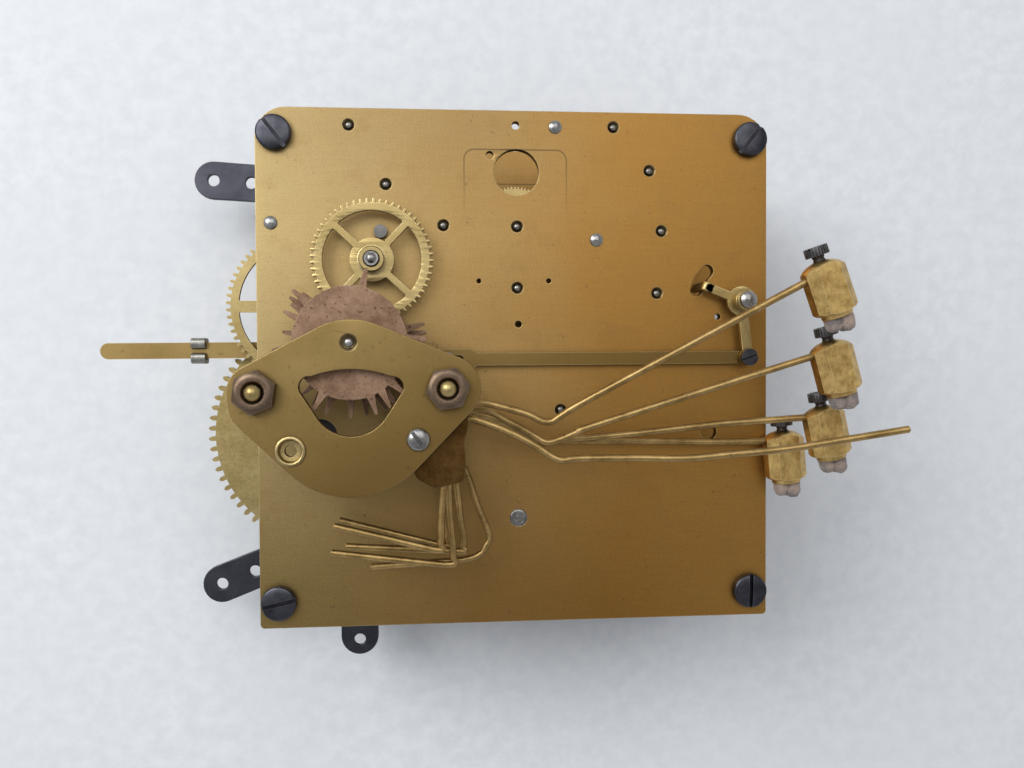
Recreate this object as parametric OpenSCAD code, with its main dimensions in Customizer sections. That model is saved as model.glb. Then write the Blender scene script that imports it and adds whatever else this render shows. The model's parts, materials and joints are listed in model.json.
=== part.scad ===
// Clock movement with going, chime and strike trains, lying on its dial side with the back plate up.
// The origin is the tip of the hand arbor, +Z points out of the back plate and +Y to 12 o'clock.
// Places on the plates are x, y from the hand arbor. Depths are measured down from the outer face of
// the back plate, and heights up from it.

/* [Plates] */
// Width of both plates
plate_w = 120; // [118:0.5:124]
// Height of both plates
plate_h = 120; // [119:0.5:124]
// Thickness of both plates
plate_t = 2.4; // [2:0.1:2.7]
// Clear height between the plates
plate_gap = 37.6; // [37:0.1:40]
// Radius of the plates' upper corners
corner_r = 7; // [4:0.5:9]
// Length of the hand arbor past the front plate
hand_l = 18; // [17:0.5:24]

/* [Pillars and screws] */
// Radius of the four pillars
pillar_r = 4.2; // [3.6:0.1:4.6]
// Distance from a pillar's centre to the side edge
pillar_inset_x = 4.4; // [4.3:0.1:5]
// Distance from a pillar's centre to the upper or lower edge
pillar_inset_y = 6.1; // [5:0.1:7]
// Radius of the frame screws
screw_r = 1.7; // [1.4:0.1:2]
// Radius of the frame screws' heads
screw_head_r = 4; // [3.4:0.1:4.2]
// Height of the frame screws' heads
screw_head_h = 2.2; // [1.8:0.1:2.6]

/* [Arbors and wheels] */
// Radius of the train arbors
arbor_r = 0.95; // [0.8:0.05:1.05]
// Radius of the pivots
pivot_r = 0.7; // [0.6:0.05:0.75]
// Radial clearance of every running fit
run_clear = 0.05; // [0.03:0.01:0.09]
// End shake of an arbor at each plate
end_shake = 0.15; // [0.1:0.05:0.25]
// Radius of the oil sinks
sink_r = 1.4; // [1.2:0.1:1.8]
// Depth of the oil sinks
sink_depth = 0.65; // [0.4:0.05:0.9]
// Thickness of the train wheels
wheel_t = 1.3; // [1:0.1:1.5]
// Width of the rims of the train wheels
rim_w = 1.8; // [1.4:0.1:2.4]
// Radius of the collets that carry the wheels
collet_r = 2.2; // [1.8:0.1:2.4]

/* [Barrels] */
// Outer radius of the chime barrel's drum
chime_drum_r = 24; // [22:0.5:24.5]
// Outer radius of the going barrel's drum
going_drum_r = 21.5; // [20:0.5:21.5]
// Wall of both barrels
barrel_wall = 1.2; // [0.8:0.1:1.6]
// Thickness of the great wheels
great_t = 2; // [1.6:0.1:2.2]
// Thickness of the mainsprings
spring_t = 0.5; // [0.35:0.05:0.6]
// Radius of the winding arbors where the barrels run
winding_r = 4; // [3.6:0.1:4.4]
// Radius of the winding arbors in the front plate
winding_pivot_r = 3; // [2.8:0.1:3.4]
// Side of the winding squares
winding_sq = 4.2; // [3.6:0.1:4.2]

/* [Chime drum and bridge] */
// Height of the bridge above the back plate
bridge_h = 18; // [18:0.1:20]
// Thickness of the bridge
bridge_t = 2; // [1.6:0.1:2.4]
// Size of the bridge nuts across their flats
nut_af = 8.2; // [7:0.1:8.6]
// Height of the bridge nuts
nut_h = 3.2; // [2.4:0.1:3.6]
// Radius of the bridge studs
bridge_stud_r = 2.3; // [2:0.1:2.5]
// Radius of the chime discs
disc_r = 12.2; // [11:0.1:12.6]
// Radius to the tips of the chime discs' spikes
spike_r = 16.3; // [15.4:0.1:16.4]
// Thickness of the chime discs
disc_t = 0.8; // [0.6:0.1:1]

/* [Hammers] */
// Thickness of the hammer levers
lever_t = 1.6; // [1.4:0.1:1.8]
// Radius of the hammer arbor
hammer_arbor_r = 1.25; // [1:0.05:1.5]
// Radius of the hammer rods and tails
rod_r = 0.78; // [0.6:0.02:0.8]
// Length of the hammer heads along the stroke
head_l = 12.4; // [11:0.1:13]
// Width of the hammer heads
head_w = 8.9; // [8:0.1:9.2]
// Thickness of the hammer heads
head_t = 7; // [6:0.1:7.2]
// Radius of the leather tips
leather_r = 2.6; // [2:0.1:2.8]

/* [Levers and straps] */
// Width of the mounting straps
strap_w = 10.3; // [9:0.1:11]
// Thickness of the mounting straps
strap_t = 1.6; // [1.2:0.1:2]
// Radius of the straps' fixing holes
strap_hole_r = 1.6; // [1.2:0.1:2]
// Width of the silent lever
silent_w = 3.8; // [3:0.1:4.4]
// Thickness of the silent lever
silent_t = 1.6; // [1.2:0.1:1.8]
// Width of the lift bar
lift_w = 2.9; // [2.4:0.1:3.4]
// Thickness of the lift bar
lift_t = 1.2; // [1:0.1:1.3]

/* [Hidden] */
$fn = 64;

// Levels along Z
dial_z = hand_l;
front_in_z = dial_z + plate_t;
back_in_z = front_in_z + plate_gap;
back_z = back_in_z + plate_t;
eps = 0.01;
seat_clear = 0.02;

// Edges of the plates, measured from the hand arbor
plate_top = 41.3;
plate_bottom = plate_top - plate_h;
plate_side = plate_w / 2;
bottom_corner_r = 1;

// Places of the arbors on the plates
chime_fly_c = [-38.8, 37.4];
chime_warning_c = [-30.4, 23.9];
chime_third_c = [-33.4, 6];
chime_second_c = [-50.2, -4];
chime_barrel_c = [-46, -34.3];
drum_c = [-37.3, -13.1];
going_barrel_c = [0, -54.1];
intermediate_c = [10.1, -28.7];
centre_c = [0, 0];
third_c = [-17.2, 14.5];
fourth_c = [0, 14.35];
minute_c = [-9.9, -9.9];
strike_barrel_c = [45.8, -34.35];
strike_pin_c = [33.3, -1.2];
strike_second_c = [34.4, 13.5];
strike_third_c = [31.5, 27.7];
strike_fly_c = [22.9, 37.8];
back_pivots = [
  chime_fly_c, chime_warning_c, chime_second_c, intermediate_c, centre_c, third_c, fourth_c,
  strike_pin_c, strike_second_c, strike_third_c, strike_fly_c
];
front_pivots = [
  chime_fly_c, chime_warning_c, chime_second_c, chime_third_c, intermediate_c, third_c,
  strike_pin_c, strike_second_c, strike_third_c, strike_fly_c
];

// Depths of the wheels' upper faces, and of the pinions as [upper, lower]
chime_great_d = 12;
chime_second_d = 5;
chime_third_d = 20;
chime_warning_d = 26;
going_great_d = 33.5;
intermediate_d = 9;
centre_d = 30;
fourth_d = 5;
strike_great_d = 13;
strike_pin_d = 24;
strike_star_d = 5;
strike_second_d = 33;
strike_third_d = 14;
going_drum_d = 14.5;
chime_vane_d = [6, 22];
strike_vane_d = [20, 36];
pinion_gap = 1.5;
collet_below = 1.2;
collet_above = 0.8;
hub_margin = 0.8;
vane_r = 8;
vane_t = 0.5;
vane_hub_wall = 0.5;

// Tooth forms as [height in modules from the pitch circle, half thickness as a share of the tooth's]
wheel_form = [[-1.15, 0.98], [0, 1], [0.45, 0.76], [0.9, 0.16]];
leaf_form = [[-1.3, 0.9], [0, 1], [0.6, 0.3]];
wheel_tooth_share = 0.225;
leaf_share = 0.2;
ratchet_teeth = 24;
ratchet_r = 9;
ratchet_root_r = 7.6;
ratchet_t = 1.8;
ratchet_gap = 0.3;
ratchet_face_a = 0.5;

// Bridge over the chime drum
bridge_left = [-56.5, -23.4];
bridge_right = [-16.6, -22.9];
bridge_discs = [
  [-56.5, -23.4, 5.9], [-55.9, -26, 6.2], [-36.8, -27, 18.7], [-16.6, -22.9, 7], [-36.9, -22.4, 14.2]
];
// Window as centre, radius, start and end angle and number of steps of each arc
window_arcs = [
  [[-28.3, -22.6], 2.4, -15, 70, 6], [[-36.9, -42.5], 23.8, 70, 110, 10],
  [[-45.3, -22.4], 2.4, 110, 200, 6], [[-36.8, -24.3], 8.5, 215, 325, 12]
];
nut_a = 15;
bush_c = [-49.5, -35.7];
bush_r = 3.2;
bush_flange = 0.6;
bush_rim_h = 0.5;
bush_cup_r = 2.2;
bush_cup_h = 1.2;
bush_bore_r = 1.25;
stud_thread_r = 1.7;
stud_dome_h = 1.1;
drum_arbor_r = 1.25;
drum_pivot_r = 0.9;
bridge_sink_r = 1.8;

// Hammers, counted as they hang: 1 to 4 carry heads from the top down, 5 has lost its head
hammer_c = [-22.9, -33.6];
arbor_head_r = 2.4;
arbor_head_h = 1.4;
arbor_slot_depth = 0.8;
arbor_slot_w = 0.7;
arbor_slot_a = -52;
hammer_levels = [3, 2, 1, 0, 4];
first_lever_h = 4;
bridge_room = 2;
hammer_pitch = (bridge_h - bridge_room - first_lever_h) / (len(hammer_levels) - 1);
hammer_heights = [for (k = hammer_levels) first_lever_h + k * hammer_pitch];
hub_r = 2.7;
hub_gap = 0.1;
hub_h = hammer_pitch - hub_gap;
top_hub_h = bridge_room - hub_gap;
lever_points = [
  [-28.2, -27.8], [-26.2, -34], [-23.5, -42.3], [-19.5, -44.4], [-13.3, -43], [-12.8, -39],
  [-13.2, -34.3], [-12.3, -31.5], [-12.3, -27.5], [-13.6, -26.4], [-21.5, -30.5], [-26.6, -26.6]
];
// Routes of the rods as x, y and rise over the middle of the lever, from the lever to the head
rods = [
  [[-15, -27.6, 0], [-9.5, -26.3, 0.1], [-4.3, -27.3, 0.9], [0.8, -28.8, 1.7], [3.9, -30.3, 2.3],
   [6, -30.3, 2.6], [8.3, -28.8, 3.1], [15.4, -24.6, 4.4], [58.1, -1.2, 12.4], [62.2, 1, 13.2]],
  [[-15, -29.2, 0], [-10.2, -27.9, 0], [-7.2, -28.3, 0.3], [-4, -30.1, 0.7], [-0.5, -32, 1.1],
   [2.9, -34, 1.5], [4.8, -35.1, 1.8], [7.2, -34.9, 2], [12.4, -32.8, 2.6], [16.3, -31.3, 3],
   [63, -16.6, 8], [67.4, -15.2, 8.5]],
  [[-15.5, -30, 0], [-11.2, -29.2, 0], [-3.7, -31.2, 0.4], [3.4, -34.8, 0.8], [5.4, -35.5, 0.9],
   [8.3, -35.1, 1], [26.2, -33.7, 1.8], [45.1, -31.7, 2.7], [64.6, -30.4, 3.6], [69.2, -30.1, 3.8]],
  [[-15.5, -31, 0], [-11.5, -30.1, 0], [-3.4, -31.9, -0.1], [3.9, -35.4, -0.2], [5.9, -36.1, -0.2],
   [9.4, -35.7, -0.3], [27.6, -35.9, -0.5], [47.4, -36.4, -0.7], [58.8, -36.3, -0.8], [63, -36.3, -0.8]],
  [[-16, -30, 0], [-12.1, -29.5, 0], [-10.2, -29.9, 0.2], [-6.8, -31.1, 0.7], [-2.3, -33, 1.3],
   [2.1, -35.4, 1.9], [5.6, -37.7, 2.4], [7.9, -38.5, 2.7], [11.2, -38.1, 3.1], [23.4, -38, 4.5],
   [34.1, -38.1, 5.8], [42.9, -37.3, 6.8], [57.5, -35.8, 8.6], [80.6, -32, 11.2]]
];
// Routes of the tails as x, y, each at the middle of its own lever
tails = [
  [[-16.6, -40.5], [-16.4, -49.6], [-15.7, -59.2], [-17.8, -61.6], [-42.2, -58.4]],
  [[-15.2, -41], [-13.9, -52.3], [-13.3, -56.3], [-13.6, -58.4], [-15, -59.4], [-39.3, -57.7]],
  [[-14.8, -39.5], [-12.6, -41.9], [-10, -49.6], [-7.4, -56.4], [-8.3, -59.1], [-9.7, -60.9],
   [-14.8, -62.1], [-34.1, -63.1]],
  [[-17.6, -41], [-17.1, -53.4], [-16.9, -57.5], [-18.3, -59.2], [-41.4, -52.9]],
  [[-17.4, -40.5], [-18.2, -51.2], [-18.4, -56.1], [-19.9, -57.6], [-41.2, -52.1]]
];
tube_sides = 8;
bend_steps = 2;
// A stretch longer than this stays straight
straight_l = 15;
// Hammer heads as x, y, rise over the middle of the lever and tilt of the stroke from straight down
heads = [
  [[63.6, -2.4], 12.4, 19], [[68.5, -19.1], 8, 15], [[69.9, -33.9], 3.6, 12], [[62.9, -40.1], -0.8, 5]
];
tail_r = rod_r - 0.04;
head_chamfer = 1.9;
head_neck_w = 5.4;
head_notch_h = 1.2;
set_screw_r = 1.3;
set_screw_head_r = 2.5;
set_screw_head_h = 2;
set_screw_neck = 1.2;
set_screw_gap = 0.15;
bore_over = 0.4;
leather_l = 6;
leather_seat = 2.6;
leather_crown = 1.2;

// Straps as places along the strap, then the fixing holes, all measured from the strap's own screw
strap_routes = [
  [[[-23.95, -2.3], [-8.4, -3.2]], [[-24, -2.3], [-13.9, -2.9]]],
  [[[-23.1, -5.7], [-8.4, 0]], [[-23.1, -5.7], [-14.1, -2.4]]],
  [[[0, -26]], [[0, -27]]]
];
strap_screw_c = [-41.1, plate_bottom + 10.7];

// Strike crank, lift bar and silent lever
crank_c = [52.8, -3.3];
crank_arm_tip = [54.3, -16.5];
crank_plate_z = 2.4;
crank_t = 1.2;
crank_plate_r = 3.5;
crank_hub_r = 2.3;
crank_hub_h = [0.4, 7.6];
crank_stud_r = 1.4;
crank_slot_r = 10.4;
crank_slot_w = 3.1;
crank_slot_a = [135, 164];
crank_arm_w = 2.4;
crank_eye_r = 2;
tab_a = 158;
tab_arm_w = 2;
tab_reach = 4;
tab_seat = 0.3;
tab_w = 2;
tab_t = 1.1;
lift_z = 1;
lift_end_x = -24;
lift_guide_c = [-16.6, -16.7];
lift_guide_r = 0.9;
lift_travel = 2.4;
lift_hole_clear = 0.25;
lift_guide_clear = 0.1;
lift_pad_wall = 1.5;
lift_pad_l = 3;
lift_slot_over = 0.5;
lift_hook_h = 2.4;
lift_hook_t = 1.2;
lift_screw_r = 0.9;
lift_screw_foot = 0.4;
lift_screw_head_r = 2;
lift_screw_head_h = 1.3;
lift_screw_slot_depth = 0.7;
lift_screw_slot_w = 0.6;
lift_screw_slot_a = 20;
silent_pivot = [-20, -14];
silent_tip_x = -97.7;
silent_y = -14.3;
silent_d = 8;
silent_stud_r = 1.5;
silent_eye_w = 1.7;
clip_x = [-76.7, -73.4];
clip_w = 6.1;
clip_h = 4;
clip_slit = 0.85;
clip_room = [0.4, 0.2];

// Domed studs in the back plate as place and depth of the inner end
plate_studs = [[[-56.65, 14.8], 4.4], [[9.1, 37.6], 8]];
stud_r = 1.45;
cock_stud_c = [18.8, 11.3];
cock_stud_spigot_r = 1;
cock_d = 19.5;
cock_t = 2;
cock_w = 6;
third_d = cock_d - 4.5;
short_post_c = [-31.6, 12.8];
short_post_r = 1.5;
short_post_h = 2;
// Small holes of the back plate as x, y, radius
small_holes = [
  [-9, 1.6, 0.57], [7.4, 1.65, 0.57], [0.2, -8.5, 0.8], [-6.3, 30.9, 0.93], [-0.2, 37.85, 0.94],
  [48, -6.8, 0.73]
];
platform_c = [-0.1, 27];
platform_r = 5.35;
strike_back_r = 1.95;

// Motion work on the dial side, as distances below the dial face
cannon_z = [0.2, 2.1];
minute_z = 0.6;
motion_t = 1.2;
hour_z = 3.6;
minute_leaf_end = 5.5;
cannon_end = 15;
hour_end = 11;
centre_arbor_r = 1.3;
hand_tip_r = 0.85;
centre_shaft_r = 1.7;
cannon_r = 2.3;
minute_seat_r = 1.7;
hour_r = 3;
minute_stud_r = 1;

function at_depth(d) = back_z - d;
function above(h) = back_z + h;
function polar(r, a) = [r * cos(a), r * sin(a)];
function heading(a, b) = atan2(b.y - a.y, b.x - a.x);
function module_of(a, b, n1, n2) = 2 * norm(b - a) / (n1 + n2);
function leaf_phase(wheel_c, pinion_c, leaves) = heading(wheel_c, pinion_c) + 180 + 180 / leaves;
function arc(c, r, a0, a1, n) = [for (i = [0:n]) c + polar(r, a0 + (a1 - a0) * i / n)];

// One tooth after another, each up its left flank and down its right
function tooth_outline(n, m, form, share, phase) = [
  for (i = [0:n - 1])
    for (k = [0:2 * len(form) - 1])
      let (up = k < len(form))
      let (p = form[up ? k : 2 * len(form) - 1 - k])
      polar(n * m / 2 + p[0] * m, phase + (i + (up ? -1 : 1) * p[1] * share) * 360 / n)
];

// Tangent points on the outside of a ring of discs given as x, y, radius, counter-clockwise
function tangent_points(discs) = [
  for (i = [0:len(discs) - 1])
    let (a = discs[i], b = discs[(i + 1) % len(discs)])
    let (ca = [a[0], a[1]], cb = [b[0], b[1]])
    let (n = heading(ca, cb) - acos((a[2] - b[2]) / norm(cb - ca)))
    each [ca + polar(a[2], n), cb + polar(b[2], n)]
];

module disc_outline(discs) {
  polygon(tangent_points(discs));
  for (d = discs) translate([d[0], d[1]]) circle(r = d[2]);
}

// Bar with round ends that runs through a list of places, the ends a hair wider than the bar
module bar_outline(points, w) {
  for (i = [0:len(points) - 2]) {
    translate(points[i])
      rotate(heading(points[i], points[i + 1]))
        translate([0, -w / 2]) square([norm(points[i + 1] - points[i]), w]);
  }
  for (p = points) translate(p) circle(r = w / 2 + eps);
}

module rod(c, z0, z1, r) translate([c.x, c.y, z0]) cylinder(r = r, h = z1 - z0);
module layer(z, t) translate([0, 0, z]) linear_extrude(t) children();

// Straight cylinder between two points in space
module strut(a, b, r) {
  d = b - a;
  translate(a) rotate([0, acos(d.z / norm(d)), atan2(d.y, d.x)]) cylinder(r = r, h = norm(d));
}

// Steel stud end, rounded over its last part
module dome(c, z, r, h) {
  big_r = (r * r + h * h) / (2 * h);
  intersection() {
    translate([c.x, c.y, z + h - big_r]) sphere(r = big_r);
    rod(c, z, z + h, r);
  }
}

module slot_cut(c, z, r, depth, w, a) {
  translate([c.x, c.y, z - depth]) rotate(a) translate([-r - 1, -w / 2, 0]) cube([2 * r + 2, w, depth + 1]);
}

// Wheels and pinions
module pinion(c, n, m, phase, z0, z1) {
  translate([c.x, c.y, z0])
    linear_extrude(z1 - z0) polygon(tooth_outline(n, m, leaf_form, leaf_share, phase));
}

// Pinion at c that meshes with a wheel of thickness t at other and depth d
module train_pinion(c, other, n, m, d, t = wheel_t) {
  pinion(c, n, m, leaf_phase(other, c, n), at_depth(d + t + pinion_gap), at_depth(d - pinion_gap));
}

module spoked(rim_r, hub, spokes, spoke_w, a) {
  difference() {
    circle(r = rim_r);
    circle(r = hub);
    for (i = [0:spokes - 1])
      rotate(a + i * 360 / spokes) translate([0, -spoke_w / 2]) square([rim_r + 1, spoke_w]);
  }
}

module wheel(c, n, m, phase, z, t, hub, spoke_w, spoke_a, spokes = 4) {
  translate([c.x, c.y, z])
    linear_extrude(t)
      difference() {
        polygon(tooth_outline(n, m, wheel_form, wheel_tooth_share, phase));
        spoked((n / 2 + wheel_form[0][0]) * m - rim_w, hub, spokes, spoke_w, spoke_a);
      }
}

// Arbor between the plates with a pivot in each, and the pivot's end just under the sink
module train_arbor(c) {
  rod(c, front_in_z + end_shake, back_in_z - end_shake, arbor_r);
  rod(c, dial_z + sink_depth / 2, back_z - sink_depth / 2, pivot_r);
}

module collet(c, z0, z1) rod(c, z0, z1, collet_r);

// Train wheel at a depth, with its collet below it
module train_wheel(c, n, m, phase, d, spoke_w = 1.6, spoke_a = 45) {
  wheel(c, n, m, phase, at_depth(d + wheel_t), wheel_t, collet_r + hub_margin, spoke_w, spoke_a);
  collet(c, at_depth(d + wheel_t + collet_below), at_depth(d - collet_above));
}

module vane(c, d) {
  rod(c, at_depth(d[1]), at_depth(d[0]), arbor_r + vane_hub_wall);
  translate([c.x - vane_r, c.y - vane_t / 2, at_depth(d[1])]) cube([2 * vane_r, vane_t, d[1] - d[0]]);
}

// Plates
module plate_outline() {
  left = -plate_side;
  low_r = bottom_corner_r;
  disc_outline([
    [left + low_r, plate_bottom + low_r, low_r], [-left - low_r, plate_bottom + low_r, low_r],
    [-left - corner_r, plate_top - corner_r, corner_r], [left + corner_r, plate_top - corner_r, corner_r]
  ]);
}

pillar_x = plate_side - pillar_inset_x;
pillar_places = [
  [-pillar_x, plate_top - pillar_inset_y], [pillar_x, plate_top - pillar_inset_y],
  [-pillar_x, plate_bottom + pillar_inset_y], [pillar_x, plate_bottom + pillar_inset_y]
];
slot_angles = [130, 50, 10, 92];
screw_reach = 8;
screw_room = 0.5;
screw_slot_depth = 1;
screw_slot_w = 0.9;
strap_screw_short = 0.4;
strap_slot_a = 30;

module plate_holes(z) {
  for (p = pillar_places) rod(p, z - 1, z + plate_t + 1, screw_r + seat_clear);
}

module pivot_holes(places, z, sink_z) {
  for (p = places) {
    rod(p, z - 1, z + plate_t + 1, pivot_r + run_clear);
    rod(p, sink_z - sink_depth, sink_z + sink_depth, sink_r);
  }
}

module crank_slot() {
  r = crank_slot_r;
  translate([crank_c.x, crank_c.y, back_in_z - 1]) {
    rotate(crank_slot_a[0])
      rotate_extrude(angle = crank_slot_a[1] - crank_slot_a[0])
        translate([r - crank_slot_w / 2, 0]) square([crank_slot_w, plate_t + 2]);
    for (a = crank_slot_a)
      rotate(a) translate([r, 0, 0]) cylinder(r = crank_slot_w / 2 + seat_clear, h = plate_t + 2);
  }
}

module back_plate() color("#b08d3e") difference() {
  layer(back_in_z, plate_t) plate_outline();
  plate_holes(back_in_z);
  pivot_holes(back_pivots, back_in_z, back_z);
  crank_slot();
  rod(chime_third_c, back_in_z - 1, back_z + 1, ratio_arbor_r + run_clear);
  rod(drum_c, back_in_z - 1, back_z + 1, drum_pivot_r + run_clear);
  rod(going_barrel_c, back_in_z - 1, back_z + 1, going_back_r + run_clear);
  rod(chime_barrel_c, back_in_z - 1, back_z + 1, winding_r + run_clear);
  rod(strike_barrel_c, back_in_z - 1, back_z + 1, strike_back_r);
  rod(platform_c, back_in_z - 1, back_z + 1, platform_r);
  for (h = small_holes) rod([h[0], h[1]], back_in_z - 1, back_z + 1, h[2]);
  for (s = plate_studs) rod(s[0], back_in_z - 1, back_z + 1, stud_r + seat_clear);
  rod(cock_stud_c, back_in_z - 1, back_z + 1, stud_r + seat_clear);
  rod(short_post_c, back_in_z - 1, back_z + 1, short_post_r + seat_clear);
  rod(crank_c, back_in_z - 1, back_z + 1, crank_stud_r + seat_clear);
  rod(lift_guide_c, back_in_z - 1, back_z + 1, lift_guide_r + seat_clear);
  rod(silent_pivot, back_in_z - 1, back_z + 1, silent_stud_r + seat_clear);
  rod(hammer_c, back_in_z - 1, back_z + 1, hammer_arbor_r + seat_clear);
  for (p = [bridge_left, bridge_right]) rod(p, back_in_z - 1, back_z + 1, stud_thread_r + seat_clear);
}

module front_plate() color("#a98637") difference() {
  layer(dial_z, plate_t) plate_outline();
  plate_holes(dial_z);
  pivot_holes(front_pivots, dial_z, dial_z);
  rod(centre_c, dial_z - 1, front_in_z + 1, centre_arbor_r + run_clear);
  for (p = [chime_barrel_c, going_barrel_c, strike_barrel_c])
    rod(p, dial_z - 1, front_in_z + 1, winding_pivot_r + run_clear);
  rod(minute_c, dial_z - 1, front_in_z + 1, minute_stud_r + seat_clear);
  for (c = [chime_click_c, going_click_c]) rod(c, dial_z - 1, front_in_z + 1, click_stud_r + seat_clear);
  rod(strap_screw_c, dial_z - 1, front_in_z + 1, screw_r + seat_clear);
}

module pillars() color("#c19a45") for (p = pillar_places) difference() {
  rod(p, front_in_z, back_in_z, pillar_r);
  rod(p, front_in_z - 1, front_in_z + screw_reach + screw_room, screw_r + seat_clear);
  rod(p, back_in_z - screw_reach - screw_room, back_in_z + 1, screw_r + seat_clear);
}

// Screw with its head up, seated at height z
module frame_screw(c, z, shank, slot_a) difference() {
  union() {
    rod(c, z, z + screw_head_h, screw_head_r);
    rod(c, z - shank, z + eps, screw_r);
  }
  slot_cut(c, z + screw_head_h, screw_head_r, screw_slot_depth, screw_slot_w, slot_a);
}

module pillar_screws() color("#3a3a40") {
  for (i = [0:3]) {
    strap = pillar_places[i].x < 0 ? strap_t : 0;
    frame_screw(pillar_places[i], back_z, plate_t + screw_reach, slot_angles[i]);
    translate([0, 0, 2 * dial_z - strap])
      mirror([0, 0, 1])
        frame_screw(pillar_places[i], dial_z, plate_t + strap + screw_reach, slot_angles[i]);
  }
}

// The side straps are held by the pillar screws, and the lower strap has its own screw
module mounting_straps() color("#34353c") {
  screws = [pillar_places[0], pillar_places[2], strap_screw_c];
  for (i = [0:2]) {
    end = screws[i];
    translate([0, 0, dial_z - strap_t]) linear_extrude(strap_t) difference() {
      bar_outline(concat([for (p = strap_routes[i][0]) end + p], [end]), strap_w);
      for (h = strap_routes[i][1]) translate(end + h) circle(r = strap_hole_r);
      translate(end) circle(r = screw_r + seat_clear);
    }
  }
}

module strap_screw() color("#3a3a40")
  translate([0, 0, 2 * dial_z - strap_t]) mirror([0, 0, 1])
    frame_screw(strap_screw_c, dial_z, plate_t + strap_t - strap_screw_short, strap_slot_a);

// Studs that are riveted in the plates
click_stud_r = 1;
run_gap = 0.3;
stud_gap = 0.2;
stud_rise = 0.3;
stud_crown = 0.5;
collar_t = 0.6;
collar_w = 0.8;
crank_cap_r = 1.9;
crank_crown = 0.7;

module plate_stud(c, inner_d, r, top) {
  rod(c, at_depth(inner_d), above(top), r);
  dome(c, above(top) - eps, r, stud_crown);
}

module steel_studs() color("#8d8f94") {
  for (s = plate_studs) plate_stud(s[0], s[1], stud_r, stud_rise);
  plate_stud(cock_stud_c, cock_d, stud_r, stud_rise);
  rod(cock_stud_c, at_depth(cock_d + cock_t), at_depth(cock_d - 1), cock_stud_spigot_r);
  rod(short_post_c, at_depth(plate_t), above(short_post_h), short_post_r);
  crank_stud();
  lift_guide();
  silent_stud();
  dial_stud(minute_c, minute_stud_r, minute_leaf_end + run_gap);
  for (c = [chime_click_c, going_click_c])
    dial_stud(c, click_stud_r, ratchet_gap + ratchet_t + run_gap);
}

// Stud on the dial face with a collar that keeps its wheel or click on
module dial_stud(c, r, reach) {
  rod(c, dial_z - reach - eps, front_in_z, r);
  rod(c, dial_z - reach - collar_t, dial_z - reach, r + collar_w);
}

module crank_stud() {
  head_z = crank_hub_h[1] + stud_gap;
  rod(crank_c, at_depth(plate_t), above(head_z) + eps, crank_stud_r);
  rod(crank_c, above(head_z), above(head_z + collar_t), crank_cap_r);
  dome(crank_c, above(head_z + collar_t) - eps, crank_cap_r, crank_crown);
}

module lift_guide() {
  top = lift_z + lift_t + stud_gap;
  rod(lift_guide_c, at_depth(plate_t), above(top) + eps, lift_guide_r);
  rod(lift_guide_c, above(top), above(top + collar_t), lift_guide_r + collar_w);
  rod(lift_guide_c, above(0), above(lift_z - stud_gap), lift_guide_r + collar_w);
}

module silent_stud() {
  low_d = silent_d + silent_t + stud_gap;
  rod(silent_pivot, at_depth(low_d) - eps, back_z, silent_stud_r);
  rod(silent_pivot, at_depth(silent_d - stud_gap), back_in_z, silent_stud_r + collar_w);
  rod(silent_pivot, at_depth(low_d + collar_t), at_depth(low_d), silent_stud_r + collar_w);
}

module fourth_wheel_cock() color("#b8923f") difference() {
  layer(at_depth(cock_d + cock_t), cock_t) bar_outline([cock_stud_c, fourth_c], cock_w);
  rod(cock_stud_c, at_depth(cock_d + cock_t) - 1, at_depth(cock_d) + 1, cock_stud_spigot_r + seat_clear);
  rod(fourth_c, at_depth(cock_d + cock_t) - 1, at_depth(cock_d) + 1, pivot_r + run_clear);
}

// Bridge that carries the outer pivot of the chime drum
module window_outline() polygon([for (w = window_arcs) each arc(w[0], w[1], w[2], w[3], w[4])]);

module drum_bridge() color("#a58a44") difference() {
  layer(above(bridge_h), bridge_t) difference() {
    disc_outline(bridge_discs);
    window_outline();
  }
  z0 = above(bridge_h) - 1;
  z1 = above(bridge_h + bridge_t) + 1;
  rod(drum_c, z0, z1, drum_pivot_r + run_clear);
  rod(drum_c, above(bridge_h + bridge_t) - sink_depth, z1, bridge_sink_r);
  for (p = [bridge_left, bridge_right]) rod(p, z0, z1, stud_thread_r + seat_clear);
  rod(hammer_c, z0, z1, hammer_arbor_r + seat_clear);
  rod(bush_c, z0, z1, bush_r - bush_flange + seat_clear);
}

nut_z = bridge_h + bridge_t;

module bridge_studs() color("#b38f45") for (p = [bridge_left, bridge_right]) {
  rod(p, at_depth(plate_t), above(nut_z + nut_h), stud_thread_r);
  rod(p, above(0), above(bridge_h), bridge_stud_r);
  dome(p, above(nut_z + nut_h) - eps, stud_thread_r, stud_dome_h);
}

module bridge_nuts() color("#6f5748") for (p = [bridge_left, bridge_right]) difference() {
  translate([p.x, p.y, above(nut_z)]) intersection() {
    rotate(nut_a) cylinder(r = nut_af / 2 / cos(30), h = nut_h, $fn = 6);
    translate([0, 0, nut_h - nut_af * sqrt(0.75)]) sphere(r = nut_af);
  }
  rod(p, above(nut_z) - 1, above(nut_z + nut_h) + 1, stud_thread_r + seat_clear);
}

module bridge_bush() color("#c8a04e") difference() {
  union() {
    rod(bush_c, above(nut_z), above(nut_z + bush_rim_h), bush_r);
    rod(bush_c, above(bridge_h), above(nut_z) + eps, bush_r - bush_flange);
  }
  rod(bush_c, above(bridge_h) - 1, above(nut_z) + 2, bush_bore_r);
  rod(bush_c, above(nut_z + bush_rim_h - bush_cup_h), above(nut_z + 1), bush_cup_r);
}

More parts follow.
